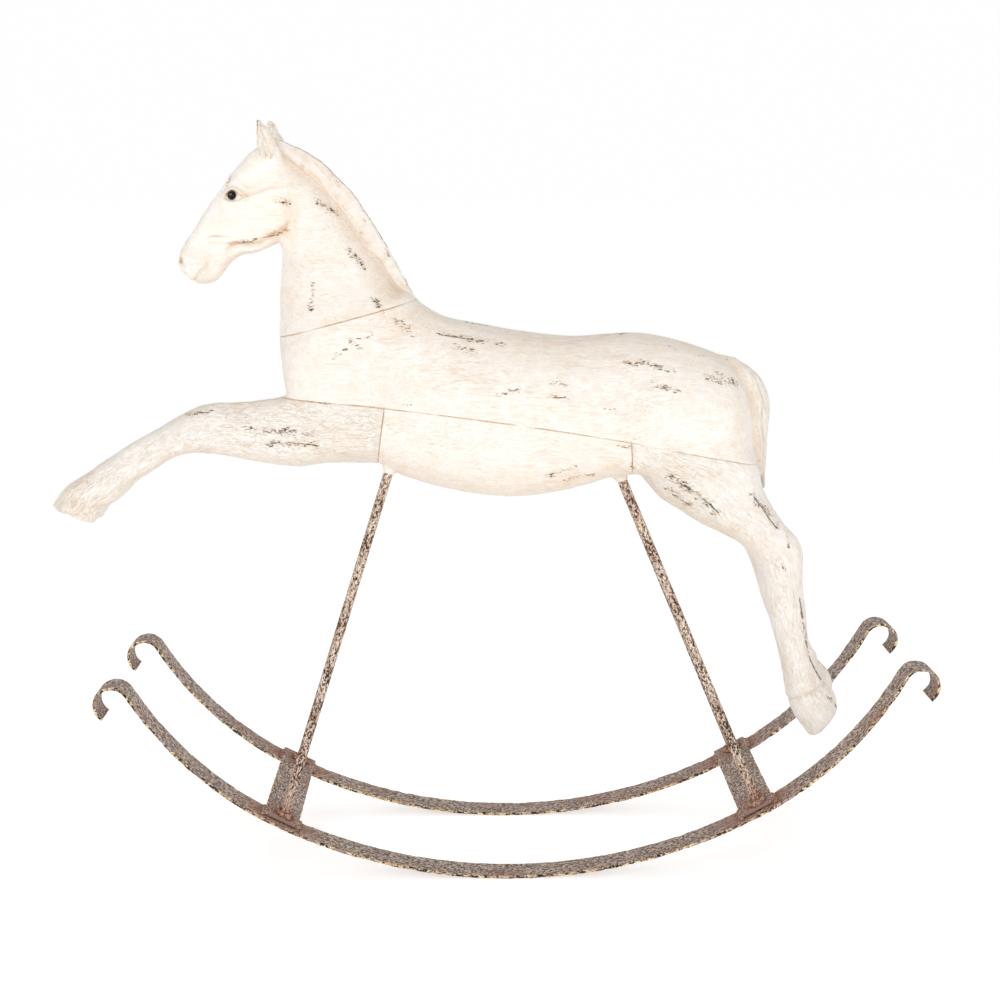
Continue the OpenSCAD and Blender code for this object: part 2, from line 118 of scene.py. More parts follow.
HIND = [[128, 366, 130, 404, -12, 44, .60, 2.3, 2.8], [136, 354, 152, 400, -13, 50, .62, 2.3, 3.6],
        [147, 340, 190, 394, -14, 53.5, .62, 2.3, 4.6], [163, 329, 231, 378, -18, 49.5, .58, 2.3, 3.4],
        [185, 316, 241.5, 348, -25, 41.5, .5, 2.3, 2.6], [205, 307, 251, 331, -33, 31.5, .5, 2.3, 2.3],
        [220, 299, 262, 315, -38, 25.5, .5, 2.3, 2.3], [230, 289, 273, 303, -39, 23, .5, 2.3, 2.2],
        [238.5, 274, 278, 290, -39, 21.5, .5, 2.3, 2.2], [245.5, 252, 279, 258, -39, 19, .5, 2.2, 2.2],
        [250.5, 228, 283, 232, -39, 17, .5, 2.1, 2.1], [258, 203, 287, 207, -39, 17, .5, 2.1, 2.1],
        [263, 178, 294, 186, -39, 19, .5, 2.2, 2.2], [268, 155, 301, 169, -39, 19, .5, 2.2, 2.2],
        [276, 135, 311, 157, -39, 21, .5, 2.3, 2.3], [290, 117, 314, 145, -39, 21, .5, 2.4, 2.4]]
TAIL = [[209, 461, 218.5, 463.6, 8], [217, 451, 231.8, 455.6, 13], [225, 437, 244, 443, 16], [230, 420, 250.5, 423, 18],
        [233, 400, 250.5, 401, 18], [237.2, 378, 249, 379, 15], [242, 358, 248.5, 358, 10], [246.2, 343.5, 249, 343.5, 4.5]]
MANE = [[.3, 6, 6], [1, 9, 8], [2, 10.5, 9], [3, 12, 9.5], [4, 12.5, 9.5], [5, 13, 9.5], [6, 13, 9.5], [7, 12.5, 9],
        [8, 11.5, 8], [9, 9, 6.5], [9.6, 4, 4]]


def reach(rows, d):
    out = []
    for r in rows:
        e = d * min(1, max(0, (-176 - r[0]) / 40))
        out.append([r[0] - e, r[1] - e, r[2] - e, r[3] - e] + r[4:])
    return out


def swing(rows, d, z0):
    return [[r[0] + d * max(0, z0 - r[1]) / z0, r[1], r[2] + d * max(0, z0 - r[3]) / z0] + r[3:] for r in rows]


def belly_seam(x):
    return 432 - 0.07 * (x + 188) - 0.00017 * (x + 188) ** 2


def neck_seam(x):
    return 487 + 0.27 * (x + 190)


# ------------------------------------------------------------------ noise on points
def lattice(i, j, k, seed):
    n = i.astype(np.uint32) * np.uint32(374761393) + j.astype(np.uint32) * np.uint32(668265263)
    n = n + k.astype(np.uint32) * np.uint32(3266489917) + np.uint32((seed * 974711 + 12345) & 0xFFFFFFFF)
    n = (n ^ (n >> np.uint32(13))) * np.uint32(1274126177)
    n = (n ^ (n >> np.uint32(15))) * np.uint32(2246822519)
    return ((n ^ (n >> np.uint32(16))) & np.uint32(0xFFFFFF)).astype(np.float64) / 8388607.5 - 1.0


def noise(p, scale, seed=0):
    """Smooth noise from -1 to 1 at points p (mm), with features about scale mm across (a number, or one per axis)."""
    q = np.asarray(p, float) / np.asarray(scale, float)
    f = np.floor(q)
    t = q - f
    t = t * t * t * (t * (t * 6 - 15) + 10)
    i, j, k = (f[:, a].astype(np.int64) for a in range(3))
    out = 0
    for a in (0, 1):
        for b in (0, 1):
            for c in (0, 1):
                w = (t[:, 0] if a else 1 - t[:, 0]) * (t[:, 1] if b else 1 - t[:, 1]) * (t[:, 2] if c else 1 - t[:, 2])
                out = out + w * lattice(i + a, j + b, k + c, seed)
    return out


def fbm(p, scale, octaves=3, seed=0):
    out, amp, s = 0, 1.0, np.asarray(scale, float)
    for o in range(octaves):
        out = out + amp * noise(p, s, seed + 17 * o)
        amp, s = amp * 0.5, s * 0.5
    return out


# ------------------------------------------------------------------ lofts
def smooth_rows(rows, m):
    r = np.array(rows, float)
    p = np.vstack([r[:1], r, r[-1:]])
    out = []
    for i in range(len(r) - 1):
        a, b, c, d = p[i:i + 4]
        for j in range(m):
            t = j / m
            out.append(.5 * (2 * b + (c - a) * t + (2 * a - 5 * b + 4 * c - d) * t * t + (3 * b - a - 3 * c + d) * t ** 3))
    out.append(r[-1])
    return np.array(out)


def spow(v, p):
    return np.sign(v) * np.abs(v) ** p


def section(s, n):
    a = 2 * np.pi * (np.arange(n) + 0.5) / n
    c = np.cos(a)
    e = np.where(c < 0, s[7], s[8])
    u = spow(c, 2 / e)
    q = s[6] + np.where(u < 0, u * s[6], u * (1 - s[6]))
    return np.stack([s[0] + (s[2] - s[0]) * q, s[4] + s[5] * spow(np.sin(a), 2 / e), s[1] + (s[3] - s[1]) * q], 1)


def skin(rings):
    """Closed triangle mesh through rings of equal length."""
    m, n = len(rings), len(rings[0])
    v = np.vstack([np.vstack(rings), rings[0].mean(0), rings[-1].mean(0)])
    j, i = np.meshgrid(np.arange(m - 1), np.arange(n), indexing="ij")
    a, b = (j * n + i).ravel(), (j * n + (i + 1) % n).ravel()
    i = np.arange(n)
    t = np.vstack([np.stack([a, b, b + n], 1), np.stack([a, b + n, a + n], 1),
                   np.stack([np.full(n, m * n), (i + 1) % n, i], 1),
                   np.stack([np.full(n, m * n + 1), (m - 1) * n + i, (m - 1) * n + (i + 1) % n], 1)])
    return v, t


def loft(rows, m=6, n=72):
    return skin([section(s, n) for s in smooth_rows(rows, m)])


def trunk_mesh():
    rings = []
    for x, top, w, bottom in smooth_rows(TRUNK, 4):
        seam = belly_seam(x)
        raw = (seam - bottom) / (top - bottom)
        t = min(0.62, max(0.3, raw))
        rings.append(section([x, bottom, x, top, 0, w, t, 2.4 + 4.6 * min(1, max(0, (0.3 - raw) / 0.12)), 2.2], 96))
    return skin(rings)


# ------------------------------------------------------------------ distance fields
def smin(a, b, k):
    h = np.maximum(k - np.abs(a - b), 0) / k
    return np.minimum(a, b) - h * h * (k * 0.25)


def smax(a, b, k):
    return -smin(-a, -b, k)


def gauss(d, s):
    return np.exp(-(d / s) ** 2)


def step(t, a, b):
    t = np.clip((t - a) / (b - a), 0, 1)
    return t * t * (3 - 2 * t)


class Field:
    """Distances in mm, negative inside, on a grid of points h mm apart."""

    def __init__(self, lo, hi, h):
        self.h = h
        self.lo = np.floor(np.array(lo) / h).astype(int)
        self.n = np.ceil(np.array(hi) / h).astype(int) - self.lo + 1
        self.xf = openvdb.createLinearTransform(voxelSize=h)
        self.d = None

    def solid(self, mesh):
        v, t = mesh
        g = openvdb.FloatGrid.createLevelSetFromPolygons(
            v.astype(np.float32), triangles=t.astype(np.uint32), transform=self.xf, halfWidth=14.0)
        out = np.zeros(tuple(self.n), np.float32)
        g.copyToArray(out, ijk=tuple(int(x) for x in self.lo))
        return out

    def axes(self, lo, hi):
        a = np.maximum(np.floor(np.array(lo) / self.h).astype(int) - self.lo, 0)
        b = np.minimum(np.ceil(np.array(hi) / self.h).astype(int) - self.lo + 1, self.n)
        sl = tuple(slice(int(p), int(q)) for p, q in zip(a, b))
        g = [((np.arange(p, q) + o) * self.h).astype(np.float32) for p, q, o in zip(a, b, self.lo)]
        return sl, g[0][:, None, None], g[1][None, :, None], g[2][None, None, :]

    def at(self, p):
        q = p / self.h - self.lo
        q = np.clip(q, 0, self.n - 1.001)
        i = np.floor(q).astype(int)
        t = q - i
        out = 0
        for a in (0, 1):
            for b in (0, 1):
                for c in (0, 1):
                    w = (t[:, 0] if a else 1 - t[:, 0]) * (t[:, 1] if b else 1 - t[:, 1]) * (t[:, 2] if c else 1 - t[:, 2])
                    out = out + w * self.d[i[:, 0] + a, i[:, 1] + b, i[:, 2] + c]
        return out

    def normals(self, p, e=None):
        e = e or self.h * 0.8
        g = np.stack([self.at(p + v) - self.at(p - v) for v in np.eye(3) * e], 1)
        return g / np.maximum(np.linalg.norm(g, axis=1, keepdims=True), 1e-9)

    def surface(self):
        g = openvdb.FloatGrid(3.0 * self.h)
        g.transform = self.xf
        g.copyFromArray(np.ascontiguousarray(np.clip(self.d, -3 * self.h, 3 * self.h)), ijk=tuple(int(x) for x in self.lo),
                        tolerance=0.0)
        v, q = g.convertToQuads(isovalue=0.0)
        return v.astype(float), q.astype(int)


def path_distance(x, z, path):
    """Distance in the XZ plane to an open polyline, and how far along it (0 to 1)."""
    best, along = None, None
    pts = np.array(path, float)
    seg = np.linalg.norm(np.diff(pts, axis=0), axis=1)
    run = np.concatenate([[0], np.cumsum(seg)]) / seg.sum()
    for k in range(len(pts) - 1):
        a, b = pts[k], pts[k + 1]
        d = b - a
        t = np.clip(((x - a[0]) * d[0] + (z - a[1]) * d[1]) / (d @ d), 0, 1)
        dist = np.sqrt((x - a[0] - t * d[0]) ** 2 + (z - a[1] - t * d[1]) ** 2)
        s = run[k] + t * (run[k + 1] - run[k])
        if best is None:
            best, along = dist, s
        else:
            near = dist < best
            best, along = np.where(near, dist, best), np.where(near, s, along)
    return best, along


def curve(path, m=6):
    return smooth_rows(path, m)


def fade(s, a=0.15):
    return step(s, 0, a) * (1 - step(s, 1 - a, 1))


def blob(x, z, cx, cz, rx, rz, deg=0.0):
    c, s = math.cos(math.radians(deg)), math.sin(math.radians(deg))
    u, v = (x - cx) * c + (z - cz) * s, -(x - cx) * s + (z - cz) * c
    return np.exp(-((u / rx) ** 2 + (v / rz) ** 2))


def ellipsoid(x, y, z, c, r):
    p = [(x - c[0]), (y - c[1]), (z - c[2])]
    k0 = np.sqrt(sum((a / b) ** 2 for a, b in zip(p, r)))
    k1 = np.sqrt(sum((a / (b * b)) ** 2 for a, b in zip(p, r)))
    return k0 * (k0 - 1) / np.maximum(k1, 1e-6)


def capsule(x, y, z, a, b, ra, rb):
    d = np.array(b, float) - np.array(a, float)
    t = np.clip(((x - a[0]) * d[0] + (y - a[1]) * d[1] + (z - a[2]) * d[2]) / (d @ d), 0, 1)
    return np.sqrt((x - a[0] - t * d[0]) ** 2 + (y - a[1] - t * d[1]) ** 2 + (z - a[2] - t * d[2]) ** 2) - (ra + (rb - ra) * t)


JAW = curve([[-262, 560], [-250, 563], [-242, 567], [-233.5, 569.4], [-225, 569.4], [-216, 571.2], [-202, 576.5], [-190.6, 582.6], [-186.5, 588]])
JOWL = curve([[-181, 618], [-182, 610], [-183.2, 603], [-184.6, 596.8], [-186.4, 588.8], [-190.2, 581.5], [-196, 576]])
ZYGO = curve([[-229, 607.5], [-223.9, 610.9], [-212.3, 615.2], [-201.6, 618.7], [-188.3, 620.5], [-175, 620]])
MOUTH = curve([[-274.6, 533], [-273.1, 535.3], [-267.5, 543.3], [-262.9, 546.9], [-260.4, 551], [-259, 556.7]])
LID_UP = curve([[-244.6, 608.2], [-242, 613.4], [-237.6, 616.9], [-232.6, 616.8], [-227.6, 613.6], [-221.2, 608.4]])
LID_LOW = curve([[-244.6, 608.2], [-241.2, 606], [-236.4, 604.9], [-231.2, 605.6], [-225.8, 607.6], [-221.2, 608.4]])
CREST_A = curve([[-264, 572.6], [-258, 574.6], [-250.4, 575.6], [-238.8, 574.7], [-230, 575.6]])
CREST_B = curve([[-264, 569], [-250, 568.9], [-238.7, 568.8], [-228, 570.4]])
MANE_EDGE = curve([[-196, 653], [-181, 645], [-163, 633], [-147, 615], [-130, 593], [-114, 568], [-97, 542], [-80, 521]])
EYE = (-236.0, -23.6, 611.5)
EYE_R = 3.95


def relief_head(x, y, z):
    """How far the carver has cut in (+) or left standing (-) on the head and neck, in mm. x, y, z broadcast."""
    w = np.abs(y)
    side = step(w, 5, 12)
    out = 0.0
    # the cheek: a raised disc whose rear rim drops to the neck, with a hollow behind it
    d, s = path_distance(x, z, JOWL)
    inside = step(-(x - (-185.5 + 0.10 * (z - 597) - 0.006 * np.maximum(0, 597 - z) ** 2)), -4.5, 5.5)
    disc = blob(x, z, -209, 596, 29, 25)
    out = out - 3.4 * np.clip(disc * 1.5, 0, 1) * inside * side
    out = out + 2.2 * gauss(d - 2, 7.0) * step(x, -190, -181) * fade(s, .3) * side
    # crease above the cheek, running back from the eye
    d, s = path_distance(x, z, ZYGO)
    out = out + 1.5 * gauss(d, 2.0) * (1 - step(s, .35, 1)) * side
    out = out + 1.8 * blob(x, z, -213, 626, 20, 6.5, 14) * side  # hollow of the temple
    # socket, lids and brow
    r = np.sqrt((x - EYE[0]) ** 2 + (z - EYE[2]) ** 2)
    out = out + 2.1 * gauss(r, 6.0) * side
    d, s = path_distance(x, z, LID_UP)
    out = out - 2.7 * gauss(d, 1.5) * step(s, 0, .12) * side
    d2 = np.where((z > 611) | (d > 5), d, 9)
    out = out + 0.9 * gauss(d2 - 3.3, 1.1) * fade(s, .2) * side * (z > 609)
    d, s = path_distance(x, z, LID_LOW)
    out = out - 1.9 * gauss(d, 1.4) * fade(s, .1) * side
    out = out + 0.7 * blob(x, z, -240, 601.5, 9, 2.4, 30) * side
    out = out - 2.6 * blob(x, z, -234, 623.0, 11, 4.2, -38) * side
    # ridge along the face, with a crease on each side of it
    d, s = path_distance(x, z, CREST_A)
    out = out + 1.0 * gauss(d, 1.3) * fade(s, .25) * side
    out = out - 1.3 * gauss(d, 3.4) * fade(s, .25) * side * (z < 575)
    d, s = path_distance(x, z, CREST_B)
    out = out + 1.0 * gauss(d, 1.3) * fade(s, .25) * side
    out = out + 0.9 * blob(x, z, -249, 585, 10, 8, 35) * side  # flat above the ridge
    # mouth, lips, nostril
    d, s = path_distance(x, z, MOUTH)
    out = out + 1.4 * gauss(d, 1.15) * (1 - step(s, .82, 1)) * step(w, 1.5, 6)
    out = out - 0.8 * gauss(d - 3.0, 1.9) * (1 - step(s, .7, 1)) * step(w, 1.5, 6)
    out = out + 0.9 * blob(x, z, -258, 551, 6, 5) * side
    rn = np.sqrt(((x + 284.6) * 0.93 + (z - 553.6) * .36) ** 2 / 1.5 ** 2 + ((z - 553.6) * .93 - (x + 284.6) * .36) ** 2 / 4.3 ** 2)
    out = out + 3.0 * gauss(rn, 1.0) * step(w, 4, 7)
    out = out - 1.1 * gauss(rn - 2.5, .8) * step(w, 5, 9)
    out = out + 0.8 * blob(x, z, -271, 564, 6, 5) * side
    # the long hollow under the mane, the throat, the ear's foot
    d, s = path_distance(x, z, MANE_EDGE)
    below = step(-(x + 0.62 * z - 232), -4, 4)
    out = out + 0.9 * gauss(d, 2.6) * fade(s, .06) * step(w, 3, 8)
    out = out + 2.3 * gauss(d - 6, 10) * fade(s, .15) * step(w, 8, 14)
    out = out - 0.8 * blob(x, z, -168, 560, 16, 60, -22) * side
    out = out + 1.6 * blob(x, z, -195, 650, 5, 4) * step(w, 8, 13)
    return out


def relief_body(x, y, z):
    """The same for the trunk and the upper legs."""
    w = np.abs(y)
    side = step(w, 18, 34)
    out = -2.4 * blob(x, z, -158, 462, 24, 40, -18) * side           # shoulder
    out = out + 1.7 * blob(x, z, -112, 440, 16, 50, -14) * side      # hollow behind the shoulder
    out = out - 2.2 * blob(x, z, 172, 425, 40, 42, 30) * side        # haunch
    out = out + 2.0 * blob(x, z, 112, 425, 17, 44, 18) * side        # flank
    out = out + 1.5 * blob(x, z, 207, 365, 9, 26, 20) * side         # behind the thigh
    out = out + 1.2 * blob(x, z, -205, 402, 14, 9, 0) * side
    out = out + 1.6 * gauss(w, 5) * step(-x, 168, 180) * (1 - step(z, 440, 478)) * step(z, 380, 400)  # between the breasts
    out = out + 0.8 * gauss(w, 4) * step(x, 60, 140) * (1 - step(x, 190, 215)) * step(z, 450, 470)    # channel on the croup
    return out


def relief_legs(x, y, z):
    """Knees, hocks, tendons, pasterns and the rim above each hoof. x is measured on the left legs."""
    out = 0.0
    f = x < -200
    # forearm muscle, knee, cannon
    out = out - 1.2 * blob(x, z, -232, 404, 18, 16) * f
    out = out - 1.3 * blob(x, z, -268, 404, 9, 20, 0) * f
    out = out + 0.9 * blob(x, z, -290, 394, 5, 20, 55) * f
    # coronet of the fore hoof: from (-346.5, 337) to (-397, 348)
    d = (x + 346.5) * 0.213 + (z - 337) * -0.977
    u = (x + 346.5) * -0.977 + (z - 337) * 0.213
    ok = f & (u > -22) & (u < 78) & (x < -318)
    out = out + 1.15 * gauss(d, 1.5) * ok
    out = out - 0.9 * gauss(d + 5.5, 3.6) * ok
    # hind: hock, tendon, fetlock, coronet (270, 152) to (298, 167)
    h = x > 180
    out = out - 1.4 * blob(x, z, 262, 272, 8, 17, -20) * h
    out = out + 1.3 * blob(x, z, 270, 222, 3.0, 34, -6) * h
    out = out - 0.7 * blob(x, z, 280, 225, 3.4, 36, -8) * h
    out = out + 0.9 * blob(x, z, 232, 322, 6, 24, 35) * h
    out = out - 0.8 * blob(x, z, 281, 180, 12, 12) * h
    d = (x - 270) * -0.472 + (z - 152) * 0.881
    ok = h & (z < 200)
    out = out + 1.25 * gauss(d, 1.5) * ok
    out = out - 0.9 * gauss(d - 5.5, 3.6) * ok
    return out


tick("start")

# ------------------------------------------------------------------ the stand's own geometry, in mm
ROCKER_R, END_R, BAR_T, BAR_W, STAND_W, CURL_R = 473.0, 331.0, 3.0, 30.0, 196.0, 17.0
ROCKER_X, ROLL, PLATE_L, PLATE_A, PLATE_IN = 11.0, 1.1, 34.0, 27.8, 8.0
RM1, RM2, RC = ROCKER_R - BAR_T / 2, END_R - BAR_T / 2, CURL_R - BAR_T / 2
A1, A2, A_TIP = 27.0, 59.5, -56.0
YB = STAND_W / 2 - BAR_W / 2


def heading(a):
    return np.array([math.sin(math.radians(a)), -math.cos(math.radians(a))])


M1 = np.array([0, ROCKER_R])
M2 = M1 + (RM1 - RM2) * heading(A1)
M3 = M2 + (RM2 + RC) * heading(A2)


def rolled(p):
    d = np.asarray(p, float) - M1
    c, s = math.cos(math.radians(ROLL)), math.sin(math.radians(ROLL))
    return np.stack([d[..., 0] * c - d[..., 1] * s, d[..., 0] * s + d[..., 1] * c], -1) + M1


def plate_frame(s):
    """Middle of a cross plate in XZ, its direction along the bar, and its upward normal. s is -1 in front, 1 behind."""
    a = s * PLATE_A
    p = M1 + RM1 * heading(a) if abs(a) <= A1 else np.array([s, 1]) * (M2 + RM2 * heading(abs(a)))
    n = -heading(a + ROLL)
    mid = rolled(p) + np.array([ROCKER_X, 0]) + (BAR_T / 2 + 0.9 + BAR_T / 2) * n
    return mid, np.array([n[1], -n[0]]), n


def rod_line(s, y):
    """Foot and top of a rod: s is -1 in front and 1 behind, y -1 on the left and 1 on the right."""
    p = plate_frame(s)[0]
    foot = np.array([p[0] + 1.5, y * 80.0, p[1] + 0.8 * s])
    top = np.array([-89.0, y * 16.0, 396.0]) if s < 0 else np.array([102.0, y * 16.0, 383.0])
    return foot, top


# ------------------------------------------------------------------ the horse as one carved form
def mirrored(mesh):
    v, t = mesh
    return v * np.array([1, -1, 1]), t[:, ::-1]


def sculpt_head():
    g = Field((-297, -50, 455), (-64, 50, 676), 0.95 * FINE)
    g.d = smin(g.solid(loft(NECK, 6, 96)), g.solid(trunk_mesh()), 8)
    # under the jaw the head steps in to a narrower keel
    sl, x, y, z = g.axes((-266, -40, 545), (-181, 40, 594))
    r = smax(z - np.interp(x, JAW[:, 0], JAW[:, 1]).astype(np.float32), 12.0 + 14 * step(x, -217, -190) - np.abs(y), 4)
    r = smax(smax(r, -((x + 187) * -17 + (z - 583) * 12) / 20.8, 3), -(x + 247), 12)
    g.d[sl] = smax(g.d[sl], -r, 2.4)
    sl, x, y, z = g.axes((-297, -50, 470), (-64, 50, 676))
    g.d[sl] += relief_head(x, y, z).astype(np.float32)
    # a flat on the crest where the mane stands, and a low mound round the foot of each ear
    for m, (ex, ez) in ((-1, (-198.5, 644)), (1, (-195, 645))):
        sl, x, y, z = g.axes((-225, -40, 630), (-180, 40, 668))
        g.d[sl] = smin(g.d[sl], ellipsoid(x, y, z, (ex - 1, m * 14.5, ez - 3), (9.5, 7.5, 8.5)), 5)
    for m in (-1, 1):
        sl, x, y, z = g.axes((-300, -40, 590), (-210, 40, 630))
        g.d[sl] = smax(g.d[sl], -(np.sqrt((x - EYE[0]) ** 2 + (y - m * 23.6) ** 2 + (z - EYE[2]) ** 2) - EYE_R - 0.15), 1.0)
    return g


def sculpt_body():
    g = Field((-425, -80, 100), (348, 80, 560), 1.3 * FINE)
    d = smin(g.solid(trunk_mesh()), g.solid(loft(NECK, 4, 72)), 8)
    left, right = g.solid(loft(FORE)), g.solid(mirrored(loft(reach(FORE, 8))))
    d = smin(d, smin(left, right, 3), 9)
    left, right = g.solid(loft(HIND)), g.solid(mirrored(loft(swing(HIND, 22, 290))))
    d = smin(d, smin(left, right, 5), 9)
    root = [[r[0], r[1], r[2], r[3], 0, r[4] - 1.3, .5, 2.6, 2.2] for r in TAIL[:7]]  # the rump rises to meet the tail
    d = smin(d, g.solid(loft(root)) + 0.8, 15)
    g.d = d
    sl, x, y, z = g.axes((-215, -80, 300), (260, 80, 560))
    g.d[sl] += relief_body(x, y, z).astype(np.float32)
    legs = [((-425, -80, 290), (-200, 0, 450), 0, 0), ((-425, 0, 290), (-200, 80, 450), 8, 0),
            ((178, -80, 100), (348, 0, 400), 0, 0), ((178, 0, 100), (348, 80, 400), 0, 22)]
    for lo, hi, d1, d2 in legs:
        sl, x, y, z = g.axes(lo, hi)
        g.d[sl] += relief_legs(x + d1 - d2 * np.maximum(0, 290 - z) / 290, y, z + d1).astype(np.float32)
    # filler pressed round each rod where it enters the belly
    for s in (-1, 1):
        for m in (-1, 1):
            foot, top = rod_line(s, m)
            v = (top - foot) / np.linalg.norm(top - foot)
            p = foot + v * 150
            while g.at(p[None])[0] > 0:
                p = p + v * 0.5
            sl, x, y, z = g.axes(p - 16, p + 16)
            lump = capsule(x, y, z, p - 1.6 * v, p + 5 * v, 6.4, 9.0)
            g.d[sl] = smin(g.d[sl], lump, 3.0)
    return g


# ------------------------------------------------------------------ meshes
def new_mesh(name, v, faces):
    """faces is an (m, 4) or (m, 3) array."""
    me = bpy.data.meshes.new(name)
    me.vertices.add(len(v))
    me.vertices.foreach_set("co", np.asarray(v, np.float32).ravel())
    me.loops.add(faces.size)
    me.loops.foreach_set("vertex_index", faces.astype(np.int32).ravel())
    me.polygons.add(len(faces))
    me.polygons.foreach_set("loop_start", np.arange(0, faces.size, faces.shape[1], dtype=np.int32))
    me.update(calc_edges=True)
    return me


def coords(me):
    co = np.zeros(len(me.vertices) * 3, np.float32)
    me.vertices.foreach_get("co", co)
    return co.reshape(-1, 3).astype(float)


def cut(bm, co, no, keep):
    """Cuts along a plane. keep is 1 for the side the normal points to, -1 for the other, and 0 only draws an edge loop."""
    no = Vector(no).normalized()
    r = bmesh.ops.bisect_plane(bm, geom=bm.verts[:] + bm.edges[:] + bm.faces[:], dist=1e-4, plane_co=Vector(co), plane_no=no,
                               clear_outer=keep < 0, clear_inner=keep > 0)
    if keep:
        rim = [e for e in r["geom_cut"] if isinstance(e, bmesh.types.BMEdge) and e.is_valid and e.is_boundary]
        made = bmesh.ops.triangle_fill(bm, edges=rim, use_beauty=True, use_dissolve=False)["geom"]
        for f in made:
            if isinstance(f, bmesh.types.BMFace):
                f.smooth = False
        for e in rim:
            if e.is_valid:
                e.smooth = False


def loops_near(bm, co, no, offsets):
    for o in offsets:
        cut(bm, Vector(co) + Vector(no).normalized() * o, no, 0)


def warp(me, sign):
    co = coords(me)
    co[:, 2] -= sign * belly_seam(co[:, 0])
    me.vertices.foreach_set("co", co.astype(np.float32).ravel())
    me.update()


def block(bm, cuts):
    """A copy of bm cut down by the planes in cuts, as a mesh."""
    out = bm.copy()
    for co, no, keep in cuts:
        cut(out, co, no, keep)
    # only the pieces that hold together with the biggest one
    out.verts.ensure_lookup_table()
    seen, best = set(), []
    for v in out.verts:
        if v in seen:
            continue
        stack, part = [v], []
        seen.add(v)
        while stack:
            a = stack.pop()
            part.append(a)
            for e in a.link_edges:
                b = e.other_vert(a)
                if b not in seen:
                    seen.add(b)
                    stack.append(b)
        if len(part) > len(best):
            best = part
    keep = set(best)
    bmesh.ops.delete(out, geom=[v for v in out.verts if v not in keep], context="VERTS")
    bmesh.ops.recalc_face_normals(out, faces=out.faces[:])
    me = bpy.data.meshes.new("block")
    out.to_mesh(me)
    out.free()
    return me


SPIN = 0.27
NECK_CO, NECK_NO = (-190, 0, 487), (-SPIN, 0, 1)
FORE_CO, FORE_NO = (-101.4, 0, 0), (1, 0, -8.2 / 58.4)      # in the warped frame, where the long seam is flat
HIND_CO, HIND_NO = (118.2, 0, 0), (1, 0, 3.2 / 42.0)


def seam_gaps(p):
    """Distance from each glue line, in mm: the long one, the neck's, fore leg to belly, belly to hind leg, left to right."""
    x, y, z = p[:, 0], p[:, 1], p[:, 2]
    low = z - belly_seam(x)
    neck = np.where(x < -60, (z - neck_seam(x)) / math.hypot(1, SPIN), 99)
    long = np.where(low < 60, low, 99)
    fore = np.where(low < 1.5, (x + 101.4) + (low) * -8.2 / 58.4, 99)
    hind = np.where(low < 1.5, (x - 118.2) + low * 3.2 / 42.0, 99)
    mid = np.where((low < 1.5) & ((fore < 0) | (hind > 0)) & (np.abs(y) < 20), y, 99)
    return long, neck, fore, hind, mid


def groove(p):
    """Depth of the glue lines at p, and how much dark glaze lies in them."""
    depth, dirt = np.zeros(len(p)), np.zeros(len(p))
    for k, s in enumerate(seam_gaps(p)):
        rough = 0.62 + 0.5 * noise(p, 24, 60 + k) + 0.3 * noise(p, 7, 70 + k)
        if k == 0:  # worn open in front, filled flush towards the rump
            rough = rough * (1 - 0.35 * step(p[:, 0], 120, 215))
        rough = np.clip(rough, 0.12, 1.15)
        depth = np.maximum(depth, rough * gauss(s, 0.75))
        dirt = np.maximum(dirt, np.clip(rough * 1.25, 0.25, 1) * gauss(s, 0.80))
    return depth * 0.60, dirt


def straighten(p, rows, lead=0.0):
    """Points p in the limb's own frame: how far along its centre line, how far across, and y."""
    r = smooth_rows(rows, 5)
    c = np.stack([(r[:, 0] + r[:, 2]) / 2, (r[:, 1] + r[:, 3]) / 2], 1)
    seg = np.diff(c, axis=0)
    ln = np.linalg.norm(seg, axis=1)
    run = np.concatenate([[0], np.cumsum(ln)])
    q = p[:, [0, 2]]
    best, u, v = np.full(len(p), 1e9), np.zeros(len(p)), np.zeros(len(p))
    for k in range(len(seg)):
        d = q - c[k]
        t = np.clip((d @ seg[k]) / (ln[k] ** 2), 0 if k else -50, 1 if k < len(seg) - 1 else 50)
        off = d - t[:, None] * seg[k]
        dist = np.linalg.norm(off, axis=1)
        near = dist < best
        side = np.sign(seg[k][0] * d[:, 1] - seg[k][1] * d[:, 0])
        best = np.where(near, dist, best)
        u = np.where(near, run[k] + t * ln[k], u)
        v = np.where(near, dist * side, v)
    return np.stack([u + lead, v, p[:, 1]], 1)


